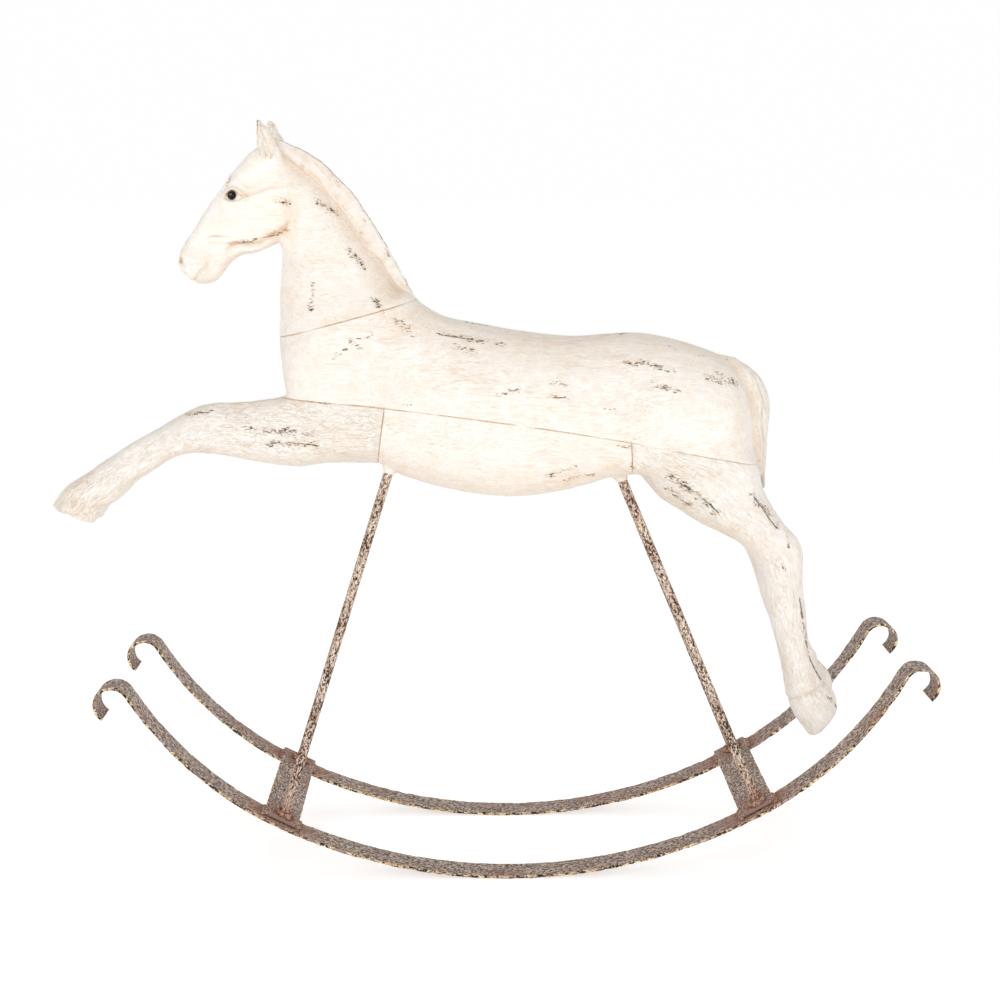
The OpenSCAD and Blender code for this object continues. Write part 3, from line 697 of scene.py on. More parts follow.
# chips in the paint [x0, z0, x1, z1, half-width], as seen on the left flank; the right flank has its own
CHIPS_L = [[-241, 619, -237, 626, 1.4], [-197, 606, -184, 605, 2.1], [-234, 569, -219, 571, 1.5], [-219, 572, -205, 576, 1.1],
           [-205, 576, -187, 581, 1.4], [-160, 607, -144, 595, 2.8], [-132, 563, -121, 550, 2.6], [-164, 534, -167, 511, 1.9],
           [-109, 519, -102, 509, 2.1], [-113, 522, -109, 517, .9], [-91, 503, -76, 490, 2.6], [-88, 502, -83, 495, 1.8],
           [-131, 483, -112, 489, 1.3], [-130, 483, -121, 475, 2.2], [-146, 471, -135, 476, 1.6], [-53, 490, 6, 480, 1.3],
           [-39, 480, -20, 474, 1.9], [-1, 438, 20, 443, 1.6], [112, 465, 124, 463, 1.6], [128, 465, 156, 458, 1.6],
           [48, 447, 60, 445, 1.6], [45, 436, 64, 435, 1.1], [136, 447, 159, 441, 1.9], [151, 478, 162, 475, .8],
           [178, 470, 186, 468, .8], [208, 464, 212, 461, 1.1], [184, 452, 217, 444, 2.3], [194, 456, 211, 448, 1.4],
           [94, 425, 108, 424, .7], [106, 392, 119, 391, 1.1], [-166, 430, -150, 429, .7], [-88, 429, -77, 428, .8],
           [44, 363, 69, 372, 2.1], [59, 359, 87, 364, 1.7], [119, 376, 120, 370, 1.2], [155, 364, 181, 345, 3.0],
           [178, 347, 200, 329, 3.0], [152, 352, 172, 337, 2.1], [227, 348, 251, 319, 2.5], [246, 338, 258, 319, 1.1],
           [260, 307, 263, 298, 1.1], [256, 283, 259, 278, 1.1], [275, 249, 279, 224, 1.0], [279, 224, 284, 199, 1.5],
           [284, 196, 290, 184, 1.1], [302, 158, 312, 147, 1.2], [-280, 418, -256, 421, 1.4], [-225, 407, -167, 401, 2.6],
           [-204, 392, -163, 391, 2.3], [-386, 357, -375, 363, 1.4]]
CHIPS_R = [[-236, 622, -229, 624, 1.4], [-206, 590, -198, 583, 1.9], [-228, 570, -210, 573, 1.4], [-170, 590, -158, 570, 2.4],
           [-140, 548, -128, 551, 1.6], [-172, 520, -168, 498, 1.8], [-100, 508, -84, 499, 2.4], [-150, 478, -128, 470, 2.0],
           [-60, 480, -30, 476, 1.5], [-24, 452, -4, 449, 1.8], [30, 468, 62, 463, 1.4], [84, 444, 108, 440, 2.1],
           [120, 430, 132, 424, 1.4], [160, 456, 190, 449, 2.2], [200, 430, 214, 418, 1.8], [20, 372, 52, 366, 2.0],
           [-70, 380, -44, 374, 1.6], [150, 370, 178, 352, 2.8], [196, 340, 222, 318, 2.6], [248, 300, 262, 292, 1.5],
           [262, 262, 268, 226, 1.5], [282, 196, 292, 182, 1.3], [-214, 404, -178, 398, 2.4], [-262, 410, -238, 413, 1.6],
           [-330, 372, -312, 381, 1.5], [-372, 346, -362, 351, 1.3]]
CHIPS_TOP = [[-251, 614, -259, 604, 1.4], [-265, 594, -270, 588, 1.4], [-278, 573, -280, 569, 1.1], [90, 487, 118, 487, 1.5],
             [-30, 499, -8, 494, 1.6], [158, 484, 176, 478, 1.3]]


RIMS = [[[-232, 568.8], [-226, 569.4], [-219, 571], [-214, 573.6]], [[274.5, 250], [277, 238], [279.5, 222], [282, 210], [284.5, 198]],
        [[284.6, 196], [290, 184], [297, 172]], [[303, 157], [308, 152], [312, 146]], [[178, 348], [188, 340], [197, 331]],
        [[228, 346], [236, 336], [245, 323], [251, 316]], [[-53, 489.5], [-40, 487], [-22, 484.5]], [[44, 435.8], [56, 435], [64, 435.4]]]


def rim_mask(p, n):
    """Thin broken lines where an edge has rubbed through."""
    out = np.zeros(len(p))
    for r in RIMS:
        d, s = path_distance(p[:, 0], p[:, 2] + .5 * noise(p, 5, 81), curve(r))
        out = np.maximum(out, gauss(d, .75) * step(-p[:, 1], 5, 9))
    return out * step(-n[:, 1], .1, .3) * step(noise(p, 9, 82), -.45, -.1)


def chip_mask(p, n):
    out = np.zeros(len(p))
    side = p[:, 1]
    wob = p[:, [0, 2]] + 0.9 * np.stack([noise(p, 5, 5), noise(p, 5, 6)], 1)
    for rows, ok, facing in ((CHIPS_L, side < -5, -n[:, 1]), (CHIPS_R, side > 5, n[:, 1]),
                             (CHIPS_TOP, np.abs(side) < 12, np.maximum(n[:, 2], -n[:, 0]) * gauss(side, 9))):
        facing = step(facing, .22, .5)
        for x0, z0, x1, z1, w in rows:
            near = ok & (wob[:, 0] > min(x0, x1) - 12) & (wob[:, 0] < max(x0, x1) + 12)
            near &= (wob[:, 1] > min(z0, z1) - 12) & (wob[:, 1] < max(z0, z1) + 12)
            if not near.any():
                continue
            q = wob[near]
            d = np.array([x1 - x0, z1 - z0], float)
            t = np.clip(((q - [x0, z0]) @ d) / max(d @ d, 1e-6), 0, 1)
            dist = np.linalg.norm(q - [x0, z0] - t[:, None] * d, axis=1)
            out[near] = np.maximum(out[near], np.exp(-(dist / (w * 1.5)) ** 2) * facing[near])
    return out


def glaze_and_shade_map(p, n, f):
    """Brown glaze wiped into the hollows, with painted shade laid in the same browns: darker in hollows and creases, on
    undersides and upward faces, beside the mane, along the face's lines and in listed patches.
    """
    c1 = np.clip((3.2 - f.at(p + 3.2 * n)) / 3.2, 0, 1)
    c2 = np.clip((9.0 - f.at(p + 9.0 * n)) / 9.0, 0, 1)
    # painted shade: hollows at two sizes, faces turned down, and a little on faces turned up; the hollows also hold
    # real glaze
    out = 0.55 * step(c1, 0.08, 0.7) + 0.38 * step(c2, 0.05, 0.6)
    out = out + 0.36 * step(-n[:, 2], 0.2, 0.9) + 0.22 * step(n[:, 2], 0.45, 0.95)
    x, z = p[:, 0], p[:, 2]
    # painted shade in the hollow of the neck below the mane
    d, s = path_distance(x, z, MANE_EDGE)
    out = out + 0.55 * gauss(d - 3, 12) * fade(s, .06) * (z > neck_seam(x)) * step(np.abs(p[:, 1]), 3, 9)
    # painted shade round the cheek's rim and along the creases of the jaw, cheek, face ridge and upper lid, with glaze
    # in the creases
    d, s = path_distance(x, z, JOWL)
    out = out + 0.42 * gauss(d - 3, 7) * fade(s, .2) + 0.25 * blob(x, z, -221, 617, 12, 5, 15) + .3 * blob(x, z, -196, 577, 12, 5, 28)
    for path, a, w in ((JAW, .42, 1.9), (ZYGO, .34, 3.0), (CREST_A, .36, 1.1), (CREST_B, .36, 1.1), (LID_UP, .30, 1.6)):
        d, s = path_distance(x, z, path)
        start = step(s, .28, .5) if path is JAW else fade(s, .15)
        out = out + a * gauss(d, w) * start * step(np.abs(p[:, 1]), 4, 9)
    # patches of painted shade, some of it tan glaze tone: behind the withers, across the chest, along the back, under
    # belly, chest and haunch, behind the rump, on hock and fore hoof, on face, throat and ear's foot
    for cx, cz, rx, rz, deg, a in ((-92, 500, 34, 14, -18, .30), (-105, 443, 38, 12, -5, .22), (20, 470, 60, 16, -3, .10),
                                   (70, 385, 40, 12, 6, .16), (-150, 408, 30, 10, -6, .16), (172, 372, 26, 12, -36, .18),
                                   (215, 440, 12, 30, 0, .14), (238, 300, 20, 14, -40, .16), (-378, 336, 26, 12, 25, .24),
                                   (-244, 590, 8, 17, -42, .20), (-206, 597, 15, 13, 0, .18), (-264, 556, 8, 11, -20, .20),
                                   (-180, 640, 16, 8, -30, .14), (-160, 560, 14, 30, 10, .16), (-186, 520, 10, 34, 0, .14)):
        out = out + a * blob(x, z, cx, cz, rx, rz, deg)
    return np.clip(out, 0, 1)


def finish_carving(me, f, rows=None, amp=1.0, lead=0.0, unwarp=True):
    """Puts a cut block back in its place, gives it the knife's surface, and stores what its paint needs."""
    if unwarp:
        warp(me, -1)
    p = coords(me)
    n = f.normals(p)
    flow = straighten(p, rows, lead) if rows is not None else p.copy()
    depth, dirt = groove(p)
    # long shallow strokes, small facets, then the fine grain
    d = 0.42 * noise(flow, (34, 11, 13), 3) + 0.24 * noise(flow, (12, 5.5, 6), 4)
    ridge = 1 - np.abs(noise(flow, (26, 3.6, 4.2), 8)) * 2
    d = d + 0.10 * ridge + 0.07 * noise(flow, (18, 2.2, 2.6), 9)
    if rows is not None:  # the legs and the belly are left rougher, with short ripples
        d = d + 0.20 * noise(flow, (9, 3.0, 3.2), 10) + 0.16 * noise(flow, (14, 4.2, 4.6), 11)
    p2 = p + n * (amp * d - depth)[:, None]
    # glaze with painted shade, a little more where the knife's surface dips
    glaze_and_painted_light = np.clip(glaze_and_shade_map(p, n, f) + 0.05 * (d < -0.3), 0, 1)
    me.vertices.foreach_set("co", ((p2 + [DX, 0, 0]) / 1000).astype(np.float32).ravel())
    chip = chip_mask(p, n)
    me.attributes.new("rim", "FLOAT", "POINT").data.foreach_set("value", rim_mask(p, n).astype(np.float32))
    calm = step(-p[:, 0], 172, 200) * step(p[:, 2], 552, 575)
    me.attributes.new("calm", "FLOAT", "POINT").data.foreach_set("value", calm.astype(np.float32))
    for name, val in (("glaze_and_painted_light", glaze_and_painted_light), ("chip", chip), ("seam", dirt)):
        me.attributes.new(name, "FLOAT", "POINT").data.foreach_set("value", val.astype(np.float32))
    me.attributes.new("flow", "FLOAT_VECTOR", "POINT").data.foreach_set("vector", flow.astype(np.float32).ravel())
    me.update()
    return me


def piece(name, me, nodes, mat=None, shade=True):
    """Makes an object of the mesh, hangs it on the root body, and hides the CAD nodes it stands for."""
    if shade:
        flat = np.zeros(len(me.polygons), bool)
        me.polygons.foreach_get("use_smooth", flat)
    me.name = name
    o = bpy.data.objects.new(name, me)
    bpy.context.scene.collection.objects.link(o)
    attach(o, "root")
    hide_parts(*nodes)
    if mat:
        me.materials.append(mat)
    return o


def carve():
    out = {}
    head = sculpt_head()
    tick("head field")
    body = sculpt_body()
    tick("body field")
    v, q = head.surface()
    me = new_mesh("h", v, q)
    bm = bmesh.new()
    bm.from_mesh(me)
    for fc in bm.faces:
        fc.smooth = True
    loops_near(bm, NECK_CO, NECK_NO, (0.8, 1.9))
    me = block(bm, [(Vector(NECK_CO) + Vector(NECK_NO).normalized() * 0.06, NECK_NO, 1)])
    bm.free()
    out["head_neck"] = finish_carving(me, head, unwarp=False, amp=0.62)
    tick("head mesh")
    v, q = body.surface()
    me = new_mesh("b", v, q)
    bm = bmesh.new()
    bm.from_mesh(me)
    for fc in bm.faces:
        fc.smooth = True
    loops_near(bm, NECK_CO, NECK_NO, (-0.8, -1.9))
    cut(bm, Vector(NECK_CO) - Vector(NECK_NO).normalized() * 0.06, NECK_NO, -1)
    flat = bpy.data.meshes.new("f")
    bm.to_mesh(flat)
    bm.free()
    warp(flat, 1)
    bm = bmesh.new()
    bm.from_mesh(flat)
    loops_near(bm, (0, 0, 0), (0, 0, 1), (-1.9, -0.8, 0.8, 1.9))
    top = bm.copy()
    me = block(top, [((0, 0, 0.06), (0, 0, 1), 1)])
    top.free()
    out["torso"] = finish_carving(me, body)
    cut(bm, (0, 0, -0.06), (0, 0, 1), -1)
    loops_near(bm, FORE_CO, FORE_NO, (-1.9, -0.8, 0.8, 1.9))
    loops_near(bm, HIND_CO, HIND_NO, (-1.9, -0.8, 0.8, 1.9))
    g = 0.06
    at = lambda co, no, o: Vector(co) + Vector(no).normalized() * o
    me = block(bm, [(at(FORE_CO, FORE_NO, g), FORE_NO, 1), (at(HIND_CO, HIND_NO, -g), HIND_NO, -1)])
    out["belly"] = finish_carving(me, body)
    fore = bm.copy()
    cut(fore, at(FORE_CO, FORE_NO, -g), FORE_NO, -1)
    hind = bm.copy()
    cut(hind, at(HIND_CO, HIND_NO, g), HIND_NO, 1)
    bm.free()
    for both, rows, shift, names in ((fore, FORE, lambda r: reach(r, 8), ("left_foreleg", "right_foreleg")),
                                     (hind, HIND, lambda r: swing(r, 22, 290), ("left_hind_leg", "right_hind_leg"))):
        loops_near(both, (0, 0, 0), (0, 1, 0), (-0.8, 0.8))
        out[names[0]] = finish_carving(block(both, [((0, -g, 0), (0, 1, 0), -1)]), body, rows, lead=100)
        out[names[1]] = finish_carving(block(both, [((0, g, 0), (0, 1, 0), 1)]), body, shift(rows), lead=700)
        both.free()
    tick("body meshes")
    return out, head, body


# ------------------------------------------------------------------ swept and lofted pieces
def grid_faces(m, n, closed=True):
    """Quads between m rings of n points."""
    j, i = np.meshgrid(np.arange(m - 1), np.arange(n if closed else n - 1), indexing="ij")
    a, b = (j * n + i).ravel(), (j * n + (i + 1) % n).ravel()
    return np.stack([a, b, b + n, a + n], 1)


def ringed_mesh(name, rings, attrs=None):
    """A closed mesh through equal rings, with its ends drawn in to a point over three smaller rings."""
    rings = [np.asarray(r, float) for r in rings]
    m, n = len(rings), len(rings[0])
    v = [np.vstack(rings)]
    quads = [grid_faces(m, n)]
    base = m * n
    tris = []
    for end, flip in ((0, True), (m - 1, False)):
        c = rings[end].mean(0)
        prev = np.arange(end * n, end * n + n)
        for s in (0.66, 0.33):
            v.append(c + (rings[end] - c) * s)
            now = np.arange(base, base + n)
            base += n
            a, b = prev, np.roll(prev, -1)
            p, q = now, np.roll(now, -1)
            quads.append(np.stack([b, a, p, q] if flip else [a, b, q, p], 1))
            prev = now
        v.append(c[None])
        a, b = prev, np.roll(prev, -1)
        tris.append(np.stack([b, a, np.full(n, base)] if flip else [a, b, np.full(n, base)], 1))
        base += 1
    v = np.vstack(v)
    quads, tris = np.vstack(quads), np.vstack(tris)
    me = bpy.data.meshes.new(name)
    me.vertices.add(len(v))
    me.vertices.foreach_set("co", v.astype(np.float32).ravel())
    me.loops.add(quads.size + tris.size)
    me.loops.foreach_set("vertex_index", np.concatenate([quads.ravel(), tris.ravel()]).astype(np.int32))
    me.polygons.add(len(quads) + len(tris))
    me.polygons.foreach_set("loop_start", np.concatenate(
        [np.arange(0, quads.size, 4), quads.size + np.arange(0, tris.size, 3)]).astype(np.int32))
    me.update(calc_edges=True)
    bm = bmesh.new()
    bm.from_mesh(me)
    bmesh.ops.recalc_face_normals(bm, faces=bm.faces[:])
    for f in bm.faces:
        f.smooth = True
    bm.to_mesh(me)
    bm.free()
    return me


def normals_of(me):
    out = np.zeros(len(me.vertices) * 3, np.float32)
    me.vertex_normals.foreach_get("vector", out)
    return out.reshape(-1, 3).astype(float)


def finish_piece(me, flow, move, glaze_and_painted_light, chip, seam=None):
    """Moves the points of me (mm) by move along their normals, sets it in the frame in metres and stores the paint's data."""
    p = coords(me) + normals_of(me) * np.asarray(move)[:, None]
    me.vertices.foreach_set("co", ((p + [DX, 0, 0]) / 1000).astype(np.float32).ravel())
    n = len(p)
    for name, val in (("glaze_and_painted_light", glaze_and_painted_light), ("chip", chip), ("seam", np.zeros(n) if seam is None else seam)):
        me.attributes.new(name, "FLOAT", "POINT").data.foreach_set("value", np.broadcast_to(val, n).astype(np.float32))
    me.attributes.new("flow", "FLOAT_VECTOR", "POINT").data.foreach_set("vector", flow.astype(np.float32).ravel())
    me.update()
    return me


def ends_flow(flow, me):
    """The flow of the ring points, carried on to the points of the two end caps."""
    p = coords(me)
    extra = len(p) - len(flow)
    if extra > 0:
        flow = np.vstack([flow, p[len(flow):][:, [0, 2, 1]]])
    return flow


def even(poly, n, closed=False):
    """n points evenly spaced along a polyline."""
    p = np.asarray(poly, float)
    if closed:
        p = np.vstack([p, p[:1]])
    run = np.concatenate([[0], np.cumsum(np.linalg.norm(np.diff(p, axis=0), axis=1))])
    t = np.linspace(0, run[-1], n, endpoint=not closed)
    return np.stack([np.interp(t, run, p[:, k]) for k in range(p.shape[1])], 1)


def make_mane():
    fine = smooth_rows(NECK[1:], 12)
    hw = smooth_rows(MANE, 12)
    step_n = 190 if FINE < 1.2 else 90
    f = np.interp(np.linspace(0, 1, step_n), np.linspace(0, 1, len(hw)), hw[:, 0])
    order = np.argsort(hw[:, 0])
    rings, flow = [], []
    run, last = 0.0, None
    n = 52
    for k, s in enumerate(f):
        row = fine[min(len(fine) - 1, int(round(s * 12)))]
        lo, hi = int(math.floor(s * 12)), min(len(fine) - 1, int(math.floor(s * 12)) + 1)
        row = fine[lo] * (1 - (s * 12 - lo)) + fine[hi] * (s * 12 - lo)
        h = np.interp(s, hw[order, 0], hw[order, 1])
        w = np.interp(s, hw[order, 0], hw[order, 2])
        a, d = row[:2], row[2:4] - row[:2]
        e = d / np.linalg.norm(d)
        b = a + d * .975
        w = w * 1.13
        half = np.array([[0, -4.2], [-.6 * w, -4.2], [-w - .4, -3.6], [-w - .4, -2.4], [-w * .97, -.8], [-w * .90, h * .12], [-w * .80, h * .32],
                         [-w * .66, h * .54], [-w * .50, h * .76], [-w * .35, h * .92], [-w * .22, h * 1.0], [-w * .10, h * 1.005], [0, h]])
        prof = even(np.vstack([half, half[::-1][1:] * [-1, 1]]), n, closed=True)
        c = b
        run += 0 if last is None else np.linalg.norm(c - last)
        last = c
        ring = np.stack([b[0] + e[0] * prof[:, 1], prof[:, 0], b[1] + e[1] * prof[:, 1]], 1)
        rings.append(ring)
        around = np.concatenate([[0], np.cumsum(np.linalg.norm(np.diff(prof, axis=0), axis=1))])
        flow.append(np.stack([np.full(n, run), around, prof[:, 1] / max(h, 1)], 1))
    me = ringed_mesh("mane", rings)
    flow = ends_flow(np.vstack(flow), me)
    hf = flow[:, 2]
    p = coords(me)
    q = flow * [1, 1, 0]
    # strokes across the ridge, a slightly scalloped crest, chips along its two edges
    move = 0.34 * noise(q, (3.4, 14, 5), 21) + 0.20 * noise(q, (1.9, 9, 5), 22) + 0.35 * noise(q, (15, 9, 9), 23)
    move = move - 0.55 * np.clip(noise(q, (5.2, 5, 5), 24) - 0.35, 0, 1) * gauss(hf - .93, .12) * 3
    # painted shade: a brown strip along the mane's foot where it meets the neck, over a light even glaze and random
    # glaze patches
    glaze_and_painted_light = np.clip(0.40 * (1 - step(hf, -.05, .25)) + 0.10 + 0.26 * step(noise(q, (5, 6, 5), 25), .1, .7), 0, 1)
    edge = gauss(hf - .97, .055) * step(noise(q, (26, 40, 9), 26) + .35 * noise(q, (5, 40, 9), 27), -.25, .25)
    spots = np.zeros(len(p))
    for cx, cz, r in ((-142.6, 621.3, 4), (-99.5, 560, 4), (-84.4, 531.3, 4.5), (-151, 633, 2.5), (-119, 590, 2.5)):
        spots = np.maximum(spots, gauss(np.hypot(p[:, 0] - cx, p[:, 2] - cz), r) * 0.8)
    crest = gauss(hf - 1.0, .045) * gauss(np.abs(p[:, 1]) - 2.4, 1.0) * step(noise(q, (40, 900, 9), 28) + .5 * noise(q, (11, 900, 9), 29), -.5, -.15)
    me.attributes.new("rim", "FLOAT", "POINT").data.foreach_set("value", crest.astype(np.float32))
    return finish_piece(me, flow * [1, 1, 1], move, glaze_and_painted_light, np.maximum(edge * .6, spots * (hf > .1)))


def make_tail():
    rows = smooth_rows(TAIL, 22 if FINE < 1.2 else 10)
    n = 88
    rings, flow, run, last = [], [], 0.0, None
    for r in rows:
        s = [r[0], r[1], r[2], r[3], 0, r[4], .5, 2.6, 2.2]
        ring = section(s, n)
        c = ring.mean(0)
        run += 0 if last is None else np.linalg.norm(c - last)
        last = c
        rings.append(ring)
        a = 360 * (np.arange(n) + .5) / n
        flow.append(np.stack([np.full(n, run), a, np.full(n, r[4])], 1))
    me = ringed_mesh("tail", rings)
    nv = len(me.vertices)
    fl = np.vstack(flow)
    fl = np.vstack([fl, np.tile([[0, 0, 8.0]], (nv - len(fl), 1))])
    u, a, w = fl[:, 0], fl[:, 1], fl[:, 2]
    cut_in, dirt = np.zeros(nv), np.zeros(nv)
    body_ring = np.arange(nv) < len(rows) * n
    for k, (a0, sway, wl) in enumerate(((12, 10, 70), (38, 9, 55), (62, 8, 64), (83, 7, 48), (104, 6, 60), (128, 5, 52))):
        for sgn in (1, -1):
            ang = a0 + sway * np.sin(u / wl * 2 * np.pi + k * 1.7 + (0.8 if sgn < 0 else 0)) + 3 * noise(np.stack([u, a * 0 + k, a * 0 + sgn], 1), (18, 1, 1), 31)
            ang = ang if sgn > 0 else 360 - ang
            d = np.abs((a - ang + 180) % 360 - 180) * np.pi / 180 * (w * .75 + 3)
            g = np.exp(-(d / 1.05) ** 1.6) * body_ring * step(u, 4, 16) * (0.7 + 0.4 * noise(np.stack([u, a * 0 + 9 * k, a * 0], 1), (22, 1, 1), 32))
            cut_in = np.maximum(cut_in, g * (1.2 if k in (1, 3) else .8))
            dirt = np.maximum(dirt, g)
    q = np.stack([u, a * (w * .75 + 3) * np.pi / 180, a * 0], 1)
    move = -cut_in + body_ring * (0.30 * noise(q, (24, 3.0, 9), 33) + .16 * noise(q, (12, 1.6, 9), 34))
    p = coords(me)
    # painted shade along the tail's front edge where it meets the rump; the grooves between the strands hold glaze
    rump_crease_shade = np.clip(1 - (p[:, 0] - (209 + 0.28 * (466 - p[:, 2]))) / 8, 0, 1)
    glaze_and_painted_light = np.clip(0.42 * dirt + 0.05 * rump_crease_shade, 0, 1)
    chip = gauss(np.abs(a - 330), 4) * step(noise(q, (12, 99, 9), 35), .35, .6) * .8
    return finish_piece(me, q, move, glaze_and_painted_light, chip, dirt * .6)


def make_ear(m):
    """A leaf-shaped ear, hollowed on its outer face. m is -1 for the left and 1 for the right."""
    g = Field((-16, -13, -10), (14, 13, 42), 0.5 * FINE)
    sl, x, y, z = g.axes((-16, -13, -10), (14, 13, 42))
    yy = y * 1.2
    d = ellipsoid(x, y, z, (0, 0.3, 2.0), (8.2, 6.2, 6.5))
    d = smin(d, capsule(x, yy, z, (-1.2, 0.4, 6), (-1.4, 0.3, 16), 8.4, 7.6), 4)
    d = smin(d, capsule(x, yy, z, (-1.4, 0.3, 16), (-.8, 0.1, 26), 7.5, 5.2), 2)
    tip, blunt = ((-1.2, -0.2, 34.9), 2.0) if m < 0 else ((-.3, -0.1, 33.0), 3.3)
    d = smin(d, capsule(x, yy, z, (-.8, 0.1, 26), tip, 5.1, blunt), 2)
    d = smax(d, -capsule(x, y * .95, z, (-.8, -7.5, 8), (-1.2, -5.8, 27), 4.6, 2.6), 1.3)
    d = smax(d, -capsule(x, y, z, (-1.4, -4.9, 22), (-1.6, -3.8, 32), 2.0, .9), 1.0)
    g.d = smax(d, -capsule(x, y, z, (-4.4, -5.8, 3), (-3.6, -5.3, 15), 1.5, 1.3), 1.2).astype(np.float32)
    v, q = g.surface()
    me = new_mesh("ear", v, q)
    me.polygons.foreach_set("use_smooth", np.ones(len(q), bool))
    n = g.normals(v)
    cav = np.clip((2.4 - g.at(v + 2.4 * n)) / 2.4, 0, 1)
    move = 0.34 * noise(v, (1.9, 3.2, 15), 41) + 0.12 * noise(v, (1.3, 1.6, 6), 42)
    v = v + n * move[:, None]
    lean = math.radians(-18)
    tilt = math.radians(15)
    c, s = math.cos(tilt), math.sin(tilt)
    rx = np.array([[1, 0, 0], [0, c, -s], [0, s, c]])
    c, s = math.cos(lean), math.sin(lean)
    ry = np.array([[c, 0, s], [0, 1, 0], [-s, 0, c]])
    at = np.array([-199.0, -15.0, 643.3] if m < 0 else [-195.2, -14.5, 644.2], float)
    w = v @ (ry @ rx).T + at
    if m > 0:
        w = w * [1, -1, 1]
        me.flip_normals()
    w = w + [DX, 0, 0]
    w[:, 2] = np.minimum(w[:, 2], 677.9)
    me.vertices.foreach_set("co", (w / 1000).astype(np.float32).ravel())
    rib = step(noise(v, (1.5, 4, 16), 43), .1, .5)
    # brown in the ear's hollow and at its foot, partly glaze and partly painted shade, with streaks along the ribs
    glaze_and_painted_light = np.clip(0.8 * step(cav, .10, .7) + 0.75 * (1 - step(v[:, 2] + .3 * v[:, 0], -1.5, 4)) * (v[:, 0] < 5) + .42 * rib + .10, 0, 1)
    rimmed = step(v[:, 2], 16, 30) * gauss(v[:, 0] + 5.4, 1.8)
    chip = np.clip(1.0 * step(v[:, 2], 29, 34) * (m < 0) + 0.75 * rimmed + .7 * gauss(np.linalg.norm(v - [-1.5, -3, 24], axis=1), 2.0), 0, 1)
    for name, val in (("glaze_and_painted_light", glaze_and_painted_light), ("chip", chip), ("seam", np.zeros(len(v)))):
        me.attributes.new(name, "FLOAT", "POINT").data.foreach_set("value", val.astype(np.float32))
    me.attributes.new("flow", "FLOAT_VECTOR", "POINT").data.foreach_set("vector", v[:, [2, 0, 1]].astype(np.float32).ravel())
    me.update()
    return me


def make_eye(m):
    """A blown-glass bead with a slight bulge in front, seated in its socket."""
    rows, n, rings = 22, 40, []
    for k in range(1, rows):
        a = math.pi * k / rows
        bulge = 1 + 0.055 * math.exp(-((math.pi - a) / 0.55) ** 2)
        r = EYE_R * 0.985 * bulge
        t = 2 * np.pi * np.arange(n) / n
        rings.append(np.stack([r * math.sin(a) * np.cos(t), np.full(n, r * math.cos(a)) * 1.0, r * math.sin(a) * np.sin(t)], 1))
    me = ringed_mesh("eye", rings)
    p = coords(me)
    pole = np.abs(p[:, 1]) > EYE_R * .9
    out = np.array([0, 1, 0]) if m > 0 else np.array([0, 1, 0])
    p = p * [1, 1 if m < 0 else -1, 1] + [EYE[0] + DX, m * 23.6, EYE[2]]
    # painted reflection: a soft light patch on the bead, a little above and in front of its middle
    painted_glint = np.exp(-((p[:, 0] - DX - EYE[0] + .5) / 1.7) ** 2 - ((p[:, 2] - EYE[2] - .9) / 1.3) ** 2)
    me.attributes.new("glaze_and_painted_light", "FLOAT", "POINT").data.foreach_set("value", painted_glint.astype(np.float32))
    me.vertices.foreach_set("co", (p / 1000).astype(np.float32).ravel())
    if m > 0:
        me.flip_normals()
    me.update()
    return me


# ------------------------------------------------------------------ the iron stand
def bar_section(w, t, n_face, r=0.55):
    """Rounded flat bar: points (across, through), starting at the middle of the upper face."""
    xs = np.linspace(-w / 2 + r, w / 2 - r, n_face)
    top = [(x, t / 2) for x in xs]
    right = [(w / 2 - r + r * math.sin(a), t / 2 - r + r * math.cos(a)) for a in (.5, 1.05)] + \
            [(w / 2, t / 2 - r), (w / 2 + .06, 0), (w / 2, -t / 2 + r)] + \
            [(w / 2 - r + r * math.sin(a), -t / 2 + r + r * math.cos(a)) for a in (2.09, 2.64)]
    bottom = [(-x, -t / 2) for x in xs]
    left = [(-x, -z) for x, z in right]
    return np.array(top + right + bottom + left)


